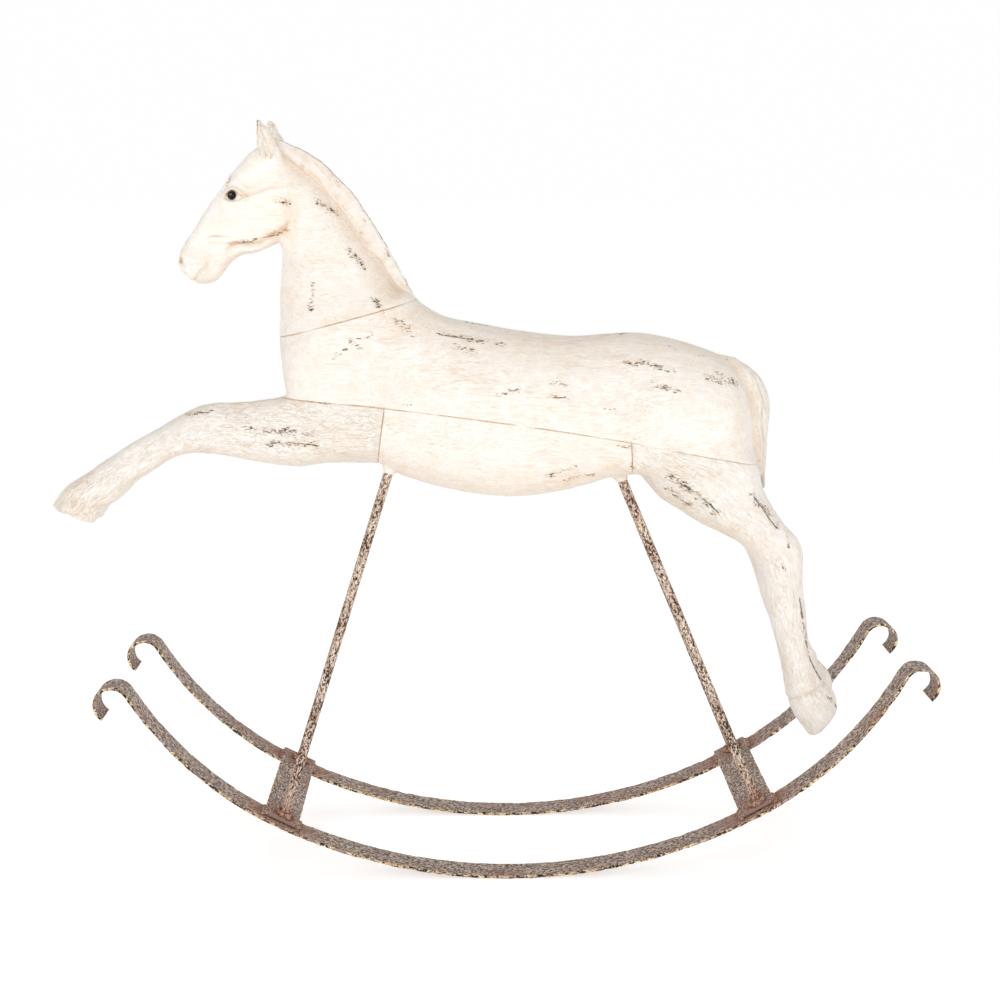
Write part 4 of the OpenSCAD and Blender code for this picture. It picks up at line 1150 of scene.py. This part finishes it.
def swept_bar(name, pts, ups, side, sec, seed, rust_at=(), wear=1.0, box=None):
    """Flat bar along pts (mm, n x 3); ups are its upward normals and side is across."""
    rings = [p + np.outer(sec[:, 0], side) + np.outer(sec[:, 1], u) for p, u in zip(pts, ups)]
    me = ringed_mesh(name, rings)
    run = np.concatenate([[0], np.cumsum(np.linalg.norm(np.diff(pts, axis=0), axis=1))])
    n = len(sec)
    fl = np.vstack([np.stack([np.full(n, s), sec[:, 0], sec[:, 1]], 1) for s in run])
    nv = len(me.vertices)
    extra = nv - len(fl)
    if extra:
        k = extra // 2
        fl = np.vstack([fl, np.tile([[0, 0, 0]], (k, 1)), np.tile([[run[-1], 0, 0]], (extra - k, 1))]).astype(float)
    p = coords(me)
    w = np.abs(sec[:, 0]).max()
    across = np.abs(fl[:, 1])
    edge = step(across, w - 1.6, w - .15)
    rubbed = step(across, w - 2.4, w - .8)
    dip = np.clip(fbm(p, 26, 3, seed), -1, 1)
    pits = np.clip(noise(p, 2.6, seed + 1) - .28, 0, 1) * 1.1 + np.clip(noise(p, 5.5, seed + 2) - .45, 0, 1) * 1.5
    move = -0.16 * (dip + 1) * .6 - 0.20 * pits
    nib = np.clip(fbm(p, (7, 7, 7), 3, seed + 3) - .12, 0, 1)
    move = move - 0.85 * edge * nib * wear
    worn = np.clip(rubbed * (0.62 + .7 * noise(p, 13, seed + 5)) + 0.25 * step(noise(p, 9, seed + 7), .42, .85), 0, 1)
    rust = np.clip(0.55 * step(fbm(p, 30, 2, seed + 8), .35, 1.0), 0, 1)
    for c, r in rust_at:
        rust = np.maximum(rust, np.exp(-(np.linalg.norm(p - c, axis=1) / r) ** 2))
    q = p + normals_of(me) * move[:, None] + [DX, 0, 0]
    me.vertices.foreach_set("co", (q / 1000).astype(np.float32).ravel())
    for nm, val in (("worn", worn), ("rust", rust)):
        me.attributes.new(nm, "FLOAT", "POINT").data.foreach_set("value", val.astype(np.float32))
    me.attributes.new("flow", "FLOAT_VECTOR", "POINT").data.foreach_set("vector", fl.astype(np.float32).ravel())
    me.update()
    return me


def rocker_path(spacing=1.9):
    half, ups = [], []
    a = np.linspace(0, A1, int(math.radians(A1) * RM1 / spacing) + 1)
    half += [M1 + RM1 * heading(t) for t in a]
    ups += [-heading(t) for t in a]
    a = np.linspace(A1, A2, int(math.radians(A2 - A1) * RM2 / spacing) + 1)[1:]
    half += [M2 + RM2 * heading(t) for t in a]
    ups += [-heading(t) for t in a]
    b = np.radians(np.linspace(90 + A2, A_TIP, 46))[1:]
    half += [M3 + RC * np.array([math.cos(t), math.sin(t)]) for t in b]
    ups += [np.array([math.cos(t), math.sin(t)]) for t in b]
    half, ups = np.array(half), np.array(ups)
    pts = np.vstack([half[::-1] * [-1, 1], half[1:]])
    ups = np.vstack([ups[::-1] * [-1, 1], ups[1:]])
    c, s = math.cos(math.radians(ROLL)), math.sin(math.radians(ROLL))
    ups = np.stack([ups[:, 0] * c - ups[:, 1] * s, ups[:, 0] * s + ups[:, 1] * c], 1)
    return rolled(pts) + [ROCKER_X, 0], ups


def make_rocker(y, seed):
    pts, ups = rocker_path(1.9 if FINE < 1.2 else 4)
    rust = []
    for s in (-1, 1):
        mid, along, up = plate_frame(s)
        for e in (-1, 1):
            c = mid + along * e * (PLATE_L / 2 + 1)
            rust.append((np.array([c[0], y, c[1]]), 17.0))
    p3 = np.stack([pts[:, 0], np.full(len(pts), y), pts[:, 1]], 1)
    u3 = np.stack([ups[:, 0], np.zeros(len(ups)), ups[:, 1]], 1)
    return swept_bar("rocker", p3, u3, np.array([0, 1.0, 0]), bar_section(BAR_W, BAR_T, 19), seed, rust)


def make_plate(s, seed):
    mid, along, up = plate_frame(s)
    ys = np.linspace(-STAND_W / 2 + PLATE_IN + .1, STAND_W / 2 - .1, 100)
    p3 = np.stack([np.full(100, mid[0]), ys, np.full(100, mid[1])], 1)
    u3 = np.tile([up[0], 0, up[1]], (100, 1))
    rust = [(np.array([mid[0], m * 80.0, mid[1]]), 17.0) for m in (-1, 1)]
    return swept_bar("plate", p3, u3, np.array([along[0], 0, along[1]]), bar_section(PLATE_L, BAR_T, 21), seed, rust)


def make_rod(s, m, seed):
    foot, top = rod_line(s, m)
    v = (top - foot) / np.linalg.norm(top - foot)
    top = top + v * 0
    n_ring = 170 if FINE < 1.2 else 70
    side = np.cross(v, [0, 1.0, 0])
    side /= np.linalg.norm(side)
    up = np.cross(side, v)
    t = 2 * np.pi * np.arange(28) / 28
    rings, fl = [], []
    mid, along, nrm = plate_frame(s)
    n3 = np.array([nrm[0], 0, nrm[1]])
    for k, f in enumerate(np.linspace(0, 1, n_ring)):
        c = foot + (top - foot) * f
        ring = c + 4.45 * (np.outer(np.cos(t), side) + np.outer(np.sin(t), up))
        rings.append(ring)
        fl.append(np.stack([np.full(28, f * np.linalg.norm(top - foot)), t * 4.45, np.zeros(28)], 1))
    # the foot is cut square to the plate
    face = np.array([mid[0], 0, mid[1]]) + n3 * (BAR_T / 2 + 0.08)
    for k in range(n_ring):
        d = (rings[k] - face) @ n3
        low = d < 0
        if low.any():
            rings[k][low] -= np.outer(d[low] / (v @ n3), v)
    me = ringed_mesh("rod", rings)
    p = coords(me)
    fl = np.vstack(fl)
    fl = np.vstack([fl, np.zeros((len(p) - len(fl), 3))])
    move = -0.05 - 0.10 * np.abs(noise(p, 7, seed)) - 0.16 * np.clip(noise(p, 2.4, seed + 1) - .3, 0, 1)
    q = p + normals_of(me) * move[:, None] + [DX, 0, 0]
    me.vertices.foreach_set("co", (q / 1000).astype(np.float32).ravel())
    h = np.linalg.norm(p - foot, axis=1)
    rust = np.clip(np.exp(-(h / 20) ** 2) + .4 * step(noise(p, 22, seed + 3), .3, .9) + .10 * step(p[:, 2], 318, 345), 0, 1)
    worn = np.clip(.5 + .6 * noise(p, 15, seed + 4) - .35 * np.exp(-(h / 30) ** 2) - .7 * step(p[:, 2], 326, 350), 0, 1)
    for nm, val in (("worn", worn), ("rust", rust)):
        me.attributes.new(nm, "FLOAT", "POINT").data.foreach_set("value", val.astype(np.float32))
    me.attributes.new("flow", "FLOAT_VECTOR", "POINT").data.foreach_set("vector", fl.astype(np.float32).ravel())
    me.update()
    return me


def join(meshes, name):
    """One mesh of several."""
    bm = bmesh.new()
    for me in meshes:
        bm.from_mesh(me)
    out = bpy.data.meshes.new(name)
    bm.to_mesh(out)
    bm.free()
    return out


def bead_attrs(me, p, seed):
    worn = np.clip(.25 + .5 * noise(p, 4, seed + 4), 0, 1)
    rust = np.clip(.75 + .4 * noise(p, 5, seed + 5), 0, 1)
    for nm, val in (("worn", worn), ("rust", rust)):
        me.attributes.new(nm, "FLOAT", "POINT").data.foreach_set("value", val.astype(np.float32))
    me.attributes.new("flow", "FLOAT_VECTOR", "POINT").data.foreach_set("vector", p.astype(np.float32).ravel())
    me.update()
    return me


def foot_bead(s, m, seed):
    """A rippled ring of weld between a rod's foot and its plate."""
    foot, top = rod_line(s, m)
    v = (top - foot) / np.linalg.norm(top - foot)
    mid, along, nrm = plate_frame(s)
    n3 = np.array([nrm[0], 0, nrm[1]])
    face = np.array([mid[0], 0, mid[1]]) + n3 * (BAR_T / 2 + 0.12)
    side = np.cross(v, [0, 1.0, 0])
    side /= np.linalg.norm(side)
    up = np.cross(side, v)
    n_t, rings = 88, []
    for k in range(n_t):
        t = 2 * np.pi * k / n_t
        out = side * math.cos(t) + up * math.sin(t)
        # ripple of the bead as it was run round the rod, uneven in size
        big = 1 + 0.16 * math.sin(t * 2 + seed) + 0.10 * math.sin(t * 5 + 2 * seed)
        rip = 0.16 * abs(math.sin(t * 13 + 0.8 * math.sin(t * 3)))
        prof = []
        for a in np.linspace(0, 2 * np.pi, 14, endpoint=False):
            r = 4.62 + (1.0 + math.cos(a)) * 2.0 * (big + rip)
            h = (1.0 + math.sin(a)) * 2.3 * (big + rip) - 0.6
            q = foot + out * r
            # slide along the rod until on the plate, then rise
            d = (q - face) @ n3
            q = q - v * d / (v @ n3)
            prof.append(q + v * max(0.02, h))
        rings.append(np.array(prof))
    n = 14
    vts = np.vstack(rings)
    j, i = np.meshgrid(np.arange(n_t), np.arange(n), indexing="ij")
    a, b = (j * n + i).ravel(), (j * n + (i + 1) % n).ravel()
    c, d = (((j + 1) % n_t) * n + (i + 1) % n).ravel(), (((j + 1) % n_t) * n + i).ravel()
    me = new_mesh("bead", vts, np.stack([a, b, c, d], 1))
    bm = bmesh.new()
    bm.from_mesh(me)
    bmesh.ops.recalc_face_normals(bm, faces=bm.faces[:])
    for f in bm.faces:
        f.smooth = True
    bm.to_mesh(me)
    bm.free()
    p = coords(me)
    q = p + normals_of(me) * (0.22 * noise(p, 2.2, seed * 7 + 1))[:, None] + [DX, 0, 0]
    me.vertices.foreach_set("co", (q / 1000).astype(np.float32).ravel())
    return bead_attrs(me, p, seed)


def seam_bead(s, e, y, seed):
    """A short rippled run of weld along a plate's edge, over one bar."""
    mid, along, nrm = plate_frame(s)
    c = mid + along * e * (PLATE_L / 2 + 0.5) - nrm * 0.9
    ys = np.linspace(y * (YB - 1) - 11.8, y * (YB - 1) + 11.8, 72)
    rings = []
    for k, yy in enumerate(ys):
        f = k / 71
        end = min(1, f / .08, (1 - f) / .08) ** .5
        r = (1.75 + .22 * math.sin(k * .9 + seed) + .3 * abs(math.sin(k * .62))) * max(.25, end)
        t = 2 * np.pi * np.arange(14) / 14
        off = np.outer(np.cos(t), [along[0], 0, along[1]]) * r * 1.05 + np.outer(np.sin(t), [nrm[0], 0, nrm[1]]) * r * .85
        wob = 0.3 * math.sin(k * .21 + seed)
        rings.append(np.array([c[0] + along[0] * wob, yy, c[1] + along[1] * wob]) + off)
    me = ringed_mesh("bead", rings)
    p = coords(me)
    q = p + normals_of(me) * (0.2 * noise(p, 2.0, seed * 5 + 2))[:, None] + [DX, 0, 0]
    me.vertices.foreach_set("co", (q / 1000).astype(np.float32).ravel())
    return bead_attrs(me, p, seed)


# ------------------------------------------------------------------ materials
class Mat:
    """Small helper for node trees: every call adds a node and returns its first output."""

    def __init__(self, name):
        self.m = bpy.data.materials.new(name)
        self.m.use_nodes = True
        self.t = self.m.node_tree
        self.t.nodes.clear()

    def put(self, socket, value):
        if isinstance(value, bpy.types.NodeSocket):
            self.t.links.new(value, socket)
        else:
            socket.default_value = value

    def node(self, kind, props=None, out=0, **ins):
        n = self.t.nodes.new("ShaderNode" + kind)
        for k, v in (props or {}).items():
            setattr(n, k, v)
        for k, v in ins.items():
            key = k.replace("_", " ")
            self.put(n.inputs[key] if key in n.inputs else n.inputs[int(k[1:])], v)
        return n.outputs[out]

    def attr(self, name, vector=False):
        return self.node("Attribute", {"attribute_name": name}, out="Vector" if vector else "Fac")

    def math(self, op, a, b=0.0, c=0.0, clamp=False):
        return self.node("Math", {"operation": op, "use_clamp": clamp}, _0=a, _1=b, _2=c)

    def scaled(self, vec, s, loc=(0, 0, 0)):
        return self.node("Mapping", Vector=vec, Scale=s, Location=loc)

    def noise(self, vec, scale=1.0, detail=3.0, rough=0.55, dist=0.0):
        return self.node("TexNoise", Vector=vec, Scale=scale, Detail=detail, Roughness=rough, Distortion=dist)

    def ramp(self, fac, lo, hi, a=0.0, b=1.0):
        n = self.t.nodes.new("ShaderNodeMapRange")
        n.interpolation_type = "SMOOTHSTEP"
        for k, v in ((0, fac), (1, lo), (2, hi), (3, a), (4, b)):
            self.put(n.inputs[k], v)
        return n.outputs[0]

    def mix(self, fac, a, b, blend="MIX"):
        n = self.t.nodes.new("ShaderNodeMix")
        n.data_type, n.blend_type = "RGBA", blend
        self.put(n.inputs[0], fac)
        self.put(n.inputs[6], a)
        self.put(n.inputs[7], b)
        return n.outputs[2]

    def finish(self, color, rough, height=None, dist=0.0003, strength=0.6, **sockets):
        b = self.t.nodes.new("ShaderNodeBsdfPrincipled")
        self.put(b.inputs["Base Color"], color)
        self.put(b.inputs["Roughness"], rough)
        for k, v in sockets.items():
            self.put(b.inputs[k.replace("_", " ")], v)
        if height is not None:
            bump = self.node("Bump", Height=height, Strength=strength, Distance=dist)
            self.put(b.inputs["Normal"], bump)
        o = self.t.nodes.new("ShaderNodeOutputMaterial")
        self.t.links.new(b.outputs[0], o.inputs[0])
        return self.m


def srgb(r, g, b):
    return tuple((c / 255 / 12.92) if c <= 10.3 else ((c / 255 + .055) / 1.055) ** 2.4 for c in (r, g, b)) + (1.0,)


def painted_wood(name, seed=0.0, weave=1.0):
    """Cream paint brushed on over carved wood, rubbed with brown glaze and painted shade, chipped through to dark wood
    in places.
    """
    m = Mat(name)
    flow, glaze_and_painted_light, chip, seam = m.attr("flow", True), m.attr("glaze_and_painted_light"), m.attr("chip"), m.attr("seam")
    off = (seed, seed * 1.7, seed * .6)
    along = m.noise(m.scaled(flow, (.022, .85, .85), off), 1, 4, .62, .3)       # brush lines along the limb
    across = m.noise(m.scaled(flow, (.9, .035, .9), off), 1, 3, .6, .2)          # and the cross-strokes under them
    fine = m.noise(m.scaled(flow, (.10, 1.9, 1.9), off), 1, 3, .6)
    patches = m.noise(m.scaled(flow, (.020, .034, .034), off), 1, 3, .55, .5)
    cloud = m.noise(m.scaled(flow, (.09, .12, .12), off), 1, 4, .6)
    grit = m.noise(m.scaled(flow, (.55, 1.5, 1.5), off), 1, 2, .6)
    cream = m.mix(m.ramp(cloud, .35, .68), srgb(252, 248, 243), srgb(247, 240, 230))
    # streaks of thin glaze caught in the brush lines, more of them in some patches than others
    lines = m.math("MULTIPLY", m.ramp(along, .50, .72), m.ramp(patches, .40, .66, .25, 1.0))
    lines = m.math("ADD", lines, m.math("MULTIPLY", m.ramp(across, .54, .74), m.ramp(patches, .62, .36, .15 * weave, .75 * weave)))
    lines = m.math("ADD", m.math("MULTIPLY", lines, .26), m.math("MULTIPLY", m.ramp(fine, .54, .70), .18))
    wob = m.noise(m.scaled(flow, (.10, .40, .40) if weave < 1 else (.045, .52, .52), off), 1, 4, .6, .8 if weave < 1 else .3)
    vein = m.ramp(m.math("ABSOLUTE", m.math("SUBTRACT", wob, .5)), 0, .034, 1.0, 0)
    wob2 = m.noise(m.scaled(flow, (.50, .050, .50) if weave >= 1 else (.20, .62, .62), off), 1, 3, .6, .3)
    vein2 = m.ramp(m.math("ABSOLUTE", m.math("SUBTRACT", wob2, .52)), 0, .026, 1.0, 0)
    veins = m.math("ADD", m.math("MULTIPLY", vein, m.ramp(patches, .36, .60, .30, 1.0)), m.math("MULTIPLY", vein2, m.ramp(patches, .62, .40, .15, .75)))
    veins = m.math("MULTIPLY", veins, m.ramp(m.attr("calm"), 0, 1, 1.0, .55))
    lines = m.math("ADD", lines, m.math("MULTIPLY", veins, .27 if weave >= 1 else .25))
    tone = m.math("MULTIPLY", m.ramp(patches, .48, .78), .13)
    # glaze and painted shade soaked into the brush lines
    glaze_and_shade_soak = m.math("MULTIPLY", glaze_and_painted_light, m.ramp(along, .25, .75, .55, 1.15))
    amount = m.math("ADD", m.math("ADD", lines, tone), m.math("MULTIPLY", glaze_and_shade_soak, .62), clamp=True)
    col = m.mix(amount, cream, srgb(222, 180, 126))
    # the deepest painted shade and glaze in a darker brown, in the hollows and creases
    deep_glaze_and_shade = m.math("MULTIPLY", m.ramp(glaze_and_painted_light, .45, 1.0), m.ramp(cloud, .35, .6, .25, .85))
    col = m.mix(m.math("MULTIPLY", deep_glaze_and_shade, .36), col, srgb(172, 122, 78))
    specks = m.math("MULTIPLY", m.ramp(grit, .68, .74), m.math("ADD", m.math("MULTIPLY", glaze_and_painted_light, .5), .16))
    col = m.mix(specks, col, srgb(150, 100, 62))
    # glue lines
    line = m.math("MULTIPLY", m.ramp(seam, .22, .85), m.ramp(grit, .2, .6, .62, 1.0))
    col = m.mix(m.math("MULTIPLY", line, .66), col, srgb(212, 164, 108))
    dark = m.math("MULTIPLY", m.ramp(seam, .66, .94), m.ramp(grit, .57, .62))
    col = m.mix(m.math("MULTIPLY", dark, .75), col, srgb(104, 70, 44))
    # chips: the mask is broken up by grain, with a brown halo outside it
    fleck = m.noise(m.scaled(flow, (.24, .70, .70), off), 1, 4, .68, .6)
    gaps = m.noise(m.scaled(flow, (.07, .20, .20), off), 1, 2, .5)
    ragged = m.math("ADD", fleck, m.math("MULTIPLY", chip, .15))
    ragged = m.math("ADD", ragged, m.math("MULTIPLY", m.math("SUBTRACT", gaps, .5), .35))
    halo = m.math("MULTIPLY", m.ramp(ragged, .58, .70), m.ramp(chip, .04, .40))
    bare = m.math("MULTIPLY", m.ramp(ragged, .685, .725), m.ramp(chip, .08, .26))
    thin = m.math("MULTIPLY", m.ramp(m.attr("rim"), .42, .70), m.ramp(grit, .38, .52, .20, 1.0))
    bare = m.math("MAXIMUM", bare, thin)
    col = m.mix(m.math("MULTIPLY", halo, .42), col, srgb(208, 166, 118))
    col = m.mix(m.math("MULTIPLY", bare, .92), col, m.mix(m.ramp(grit, .38, .62), srgb(44, 33, 26), srgb(134, 110, 84)))
    rough = m.math("ADD", m.ramp(cloud, .3, .7, .40, .56), m.math("MULTIPLY", bare, .3), clamp=True)
    h = m.math("ADD", m.math("MULTIPLY", along, .9), m.math("MULTIPLY", fine, .5))
    h = m.math("ADD", h, m.math("MULTIPLY", across, .5 * weave))
    h = m.math("SUBTRACT", h, m.math("MULTIPLY", bare, 1.6))
    ripple = m.noise(m.scaled(flow, (.11, .42, .42), off), 1, 3, .55, 1.2)
    h = m.math("ADD", h, m.math("MULTIPLY", ripple, 2.6 - 1.8 * weave))
    h = m.math("SUBTRACT", h, m.math("MULTIPLY", veins, .55))
    h = m.math("MULTIPLY", h, m.ramp(m.attr("calm"), 0, 1, 1.0, .55))
    return m.finish(col, rough, h, dist=.00038 if weave >= 1 else .00045, strength=.62 if weave >= 1 else .85, Specular_IOR_Level=.3)


def old_iron(name, seed=0.0, pale=False):
    """Flat bar and rod: a thin grey-brown coat over steel, flaked and rusting."""
    m = Mat(name)
    flow, worn, rust = m.attr("flow", True), m.attr("worn"), m.attr("rust")
    off = (seed, seed * 2.1, seed * .4)
    mott = m.noise(m.scaled(flow, (.36, .50, .50), off), 1, 2, .55, .3)
    fleck = m.noise(m.scaled(flow, (.36, .58, .58), off), 1, 2, .55, .6)
    big = m.noise(m.scaled(flow, (.035, .06, .06), off), 1, 3, .55)
    tiny = m.noise(m.scaled(flow, (.75, .90, .90), off), 1, 2, .6)
    if pale:
        base = m.mix(m.ramp(mott, .42, .58), srgb(186, 160, 138), srgb(236, 222, 204))
        base = m.mix(m.math("MULTIPLY", m.ramp(big, .45, .62), .3), base, srgb(168, 136, 112))
        dense = m.ramp(worn, .2, .8, .560, .478)
        n = m.math("SUBTRACT", fleck, dense)
        base = m.mix(m.math("MULTIPLY", m.ramp(n, -.008, .012), .97), base, m.mix(m.ramp(tiny, .45, .60), srgb(38, 26, 20), srgb(104, 58, 38)))
        base = m.mix(m.math("MULTIPLY", m.ramp(tiny, .58, .63), .8), base, srgb(104, 70, 52))
    else:
        base = m.mix(m.ramp(mott, .45, .54), srgb(98, 80, 72), srgb(216, 196, 182))
        base = m.mix(m.math("MULTIPLY", m.ramp(big, .4, .65), .35), base, srgb(142, 118, 106))
        base = m.mix(m.math("MULTIPLY", m.ramp(tiny, .54, .60), .85), base, srgb(62, 49, 43))
        base = m.mix(m.math("MULTIPLY", m.ramp(fleck, .60, .64), .5), base, srgb(222, 208, 190))
        # bare, flaking edges: cream scale with black pits
        edge = m.math("MULTIPLY", m.ramp(worn, .22, .50), m.ramp(fleck, .38, .45))
        base = m.mix(edge, base, m.mix(m.ramp(tiny, .42, .62), srgb(240, 222, 188), srgb(200, 150, 100)))
        pits = m.math("MULTIPLY", m.ramp(worn, .18, .45), m.ramp(mott, .50, .54))
        base = m.mix(pits, base, srgb(36, 26, 22))
    r = m.math("MULTIPLY", rust, m.ramp(mott, .28, .60, .45, 1.0))
    base = m.mix(m.math("MULTIPLY", r, .72), base, m.mix(m.ramp(fleck, .44, .56), srgb(184, 126, 104), srgb(118, 64, 44)))
    base = m.mix(m.math("MULTIPLY", m.ramp(r, .5, 1.0), m.ramp(tiny, .50, .62)), base, srgb(120, 62, 36))
    h = m.math("ADD", m.math("MULTIPLY", mott, 1.0), m.math("MULTIPLY", tiny, .5))
    h = m.math("SUBTRACT", h, m.math("MULTIPLY", m.ramp(fleck, .54, .60), .5))
    rough = m.ramp(mott, .3, .7, .48, .70)
    return m.finish(base, rough, h, dist=.0004, strength=.6, Specular_IOR_Level=.25)


def glass_eye():
    m = Mat("eye_glass_bead")
    geo = m.node("NewGeometry", out="Position")
    n = m.noise(m.scaled(geo, (900, 900, 900)), 1, 2, .5)
    col = m.mix(m.ramp(n, .3, .7), srgb(4, 3, 3), srgb(14, 10, 8))
    col = m.mix(m.ramp(m.attr("glaze_and_painted_light"), .25, .95), col, srgb(104, 92, 80))  # painted reflection: a grey-brown patch for the light mirrored in the bead
    return m.finish(col, m.ramp(n, .2, .8, .06, .10), Specular_IOR_Level=.22)


def dowel_wood():
    m = Mat("dowel_beech")
    geo = m.node("NewGeometry", out="Position")
    g = m.noise(m.scaled(geo, (1400, 1400, 45)), 1, 4, .6)
    col = m.mix(m.ramp(g, .35, .65), srgb(214, 178, 130), srgb(176, 132, 86))
    return m.finish(col, m.ramp(g, .2, .8, .55, .7), g, dist=.0002)


# ------------------------------------------------------------------ put it together
carved, head_field, body_field = carve()
wood = painted_wood("cream_paint", 0.0)
limbs = painted_wood("cream_paint_limbs", 37.0, weave=.45)
ridge = painted_wood("cream_paint_ridges", 91.0, weave=1.2)
for node, me in carved.items():
    piece("carved_" + node, me, [node], limbs if "leg" in node else wood)
made = {}
for name, me, mat in (("mane", make_mane(), ridge), ("tail", make_tail(), limbs), ("left_ear", make_ear(-1), limbs),
                      ("right_ear", make_ear(1), limbs)):
    made[name] = piece("carved_" + name, me, [name], mat)
glass = glass_eye()
for name, m in (("left_eye", -1), ("right_eye", 1)):
    piece("glass_" + name, make_eye(m), [name], glass)
tick("mane, tail, ears, eyes")
bar, round_bar, weld = old_iron("bar_scale", 0.0), old_iron("rod_flaked", 13.0, pale=True), old_iron("weld_rust", 29.0)
piece("bar_left_rocker", make_rocker(-YB, 101), ["left_rocker"], bar)
piece("bar_right_rocker", make_rocker(YB, 131), ["right_rocker"], bar)
for s, word in ((-1, "front"), (1, "rear")):
    piece(f"bar_{word}_cross_plate", make_plate(s, 160 + s), [f"{word}_cross_plate"], bar)
    for m, hand in ((-1, "left"), (1, "right")):
        piece(f"round_{word}_{hand}_rod", make_rod(s, m, 180 + 3 * s + m), [f"{word}_{hand}_rod"], round_bar)
beads = join([foot_bead(s, m, 3 + s * 2 + m) for s in (-1, 1) for m in (-1, 1)], "foot_beads")
piece("weld_rod_feet", beads, ["rod_foot_welds"], weld)
beads = join([seam_bead(s, e, y, 11 + s * 4 + e * 2 + y) for s in (-1, 1) for e in (-1, 1) for y in (-1, 1)], "plate_beads")
piece("weld_plate_edges", beads, ["plate_welds"], weld)
pale = dowel_wood()
for name, o in frame["nodes"].items():
    if "dowels" in name or name == "tail_peg":
        o.data.materials.clear()
        o.data.materials.append(pale)
tick("stand")

# nothing stands outside the CAD box
lo, hi = (np.array(v) for v in cad_box)
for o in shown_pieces():
    if o.type == "MESH" and "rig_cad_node" not in o:
        co = coords(o.data)
        if (co < lo).any() or (co > hi).any():
            o.data.vertices.foreach_set("co", np.clip(co, lo + 2e-5, hi - 2e-5).astype(np.float32).ravel())
            o.data.update()

# ------------------------------------------------------------------ floor, light, camera
bm = bmesh.new()
bmesh.ops.create_grid(bm, x_segments=8, y_segments=8, size=40)
floor_mesh = bpy.data.meshes.new("floor")
bm.to_mesh(floor_mesh)
bm.free()
floor = bpy.data.objects.new("floor", floor_mesh)
bpy.context.scene.collection.objects.link(floor)
fm = Mat("floor_paper")
floor_mesh.materials.append(fm.finish(srgb(216, 216, 216), .9, Specular_IOR_Level=.1, Emission_Color=(1, 1, 1, 1), Emission_Strength=.56))

world = bpy.data.worlds.new("studio")
bpy.context.scene.world = world
world.use_nodes = True
bg = world.node_tree.nodes["Background"]
bg.inputs[0].default_value = (1, 1, 1, 1)
tc = world.node_tree.nodes.new("ShaderNodeTexCoord")
up = world.node_tree.nodes.new("ShaderNodeSeparateXYZ")
world.node_tree.links.new(tc.outputs["Generated"], up.inputs[0])
dome = world.node_tree.nodes.new("ShaderNodeMapRange")  # bright low down, dimmer overhead
dome.interpolation_type = "SMOOTHSTEP"
for k, v in ((1, .12), (2, .34), (3, .995), (4, .60)):
    dome.inputs[k].default_value = v
world.node_tree.links.new(up.outputs[2], dome.inputs[0])
world.node_tree.links.new(dome.outputs[0], bg.inputs[1])


def lamp(name, at, aim, size, power, color=(1, 1, 1)):
    d = bpy.data.lights.new(name, "AREA")
    d.shape, d.size, d.energy, d.color = "DISK", size, power, color
    o = bpy.data.objects.new(name, d)
    bpy.context.scene.collection.objects.link(o)
    o.location = at
    o.rotation_euler = (Vector(aim) - Vector(at)).to_track_quat("-Z", "Y").to_euler()
    return o


lamp("key", (-0.9, -1.9, 1.5), (0, 0, .40), 1.2, 10.8)
lamp("fill", (1.3, -1.8, 0.9), (0, 0, .30), 1.4, 8.5)
lamp("top", (0.1, 0.3, 2.6), (0, 0, .3), 1.6, 3)

cam = bpy.data.cameras.new("camera")
cam.lens, cam.sensor_width, cam.clip_end = 65.268, 36.0, 50
camera = bpy.data.objects.new("camera", cam)
bpy.context.scene.collection.objects.link(camera)
camera.location = (-0.016912, -1.658141, 0.626566)
camera.rotation_euler = (math.radians(90 - 10.071), 0, math.radians(-0.9334))
bpy.context.scene.camera = camera
bpy.context.scene.view_settings.view_transform = "Standard"

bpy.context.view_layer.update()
tick("scene built")
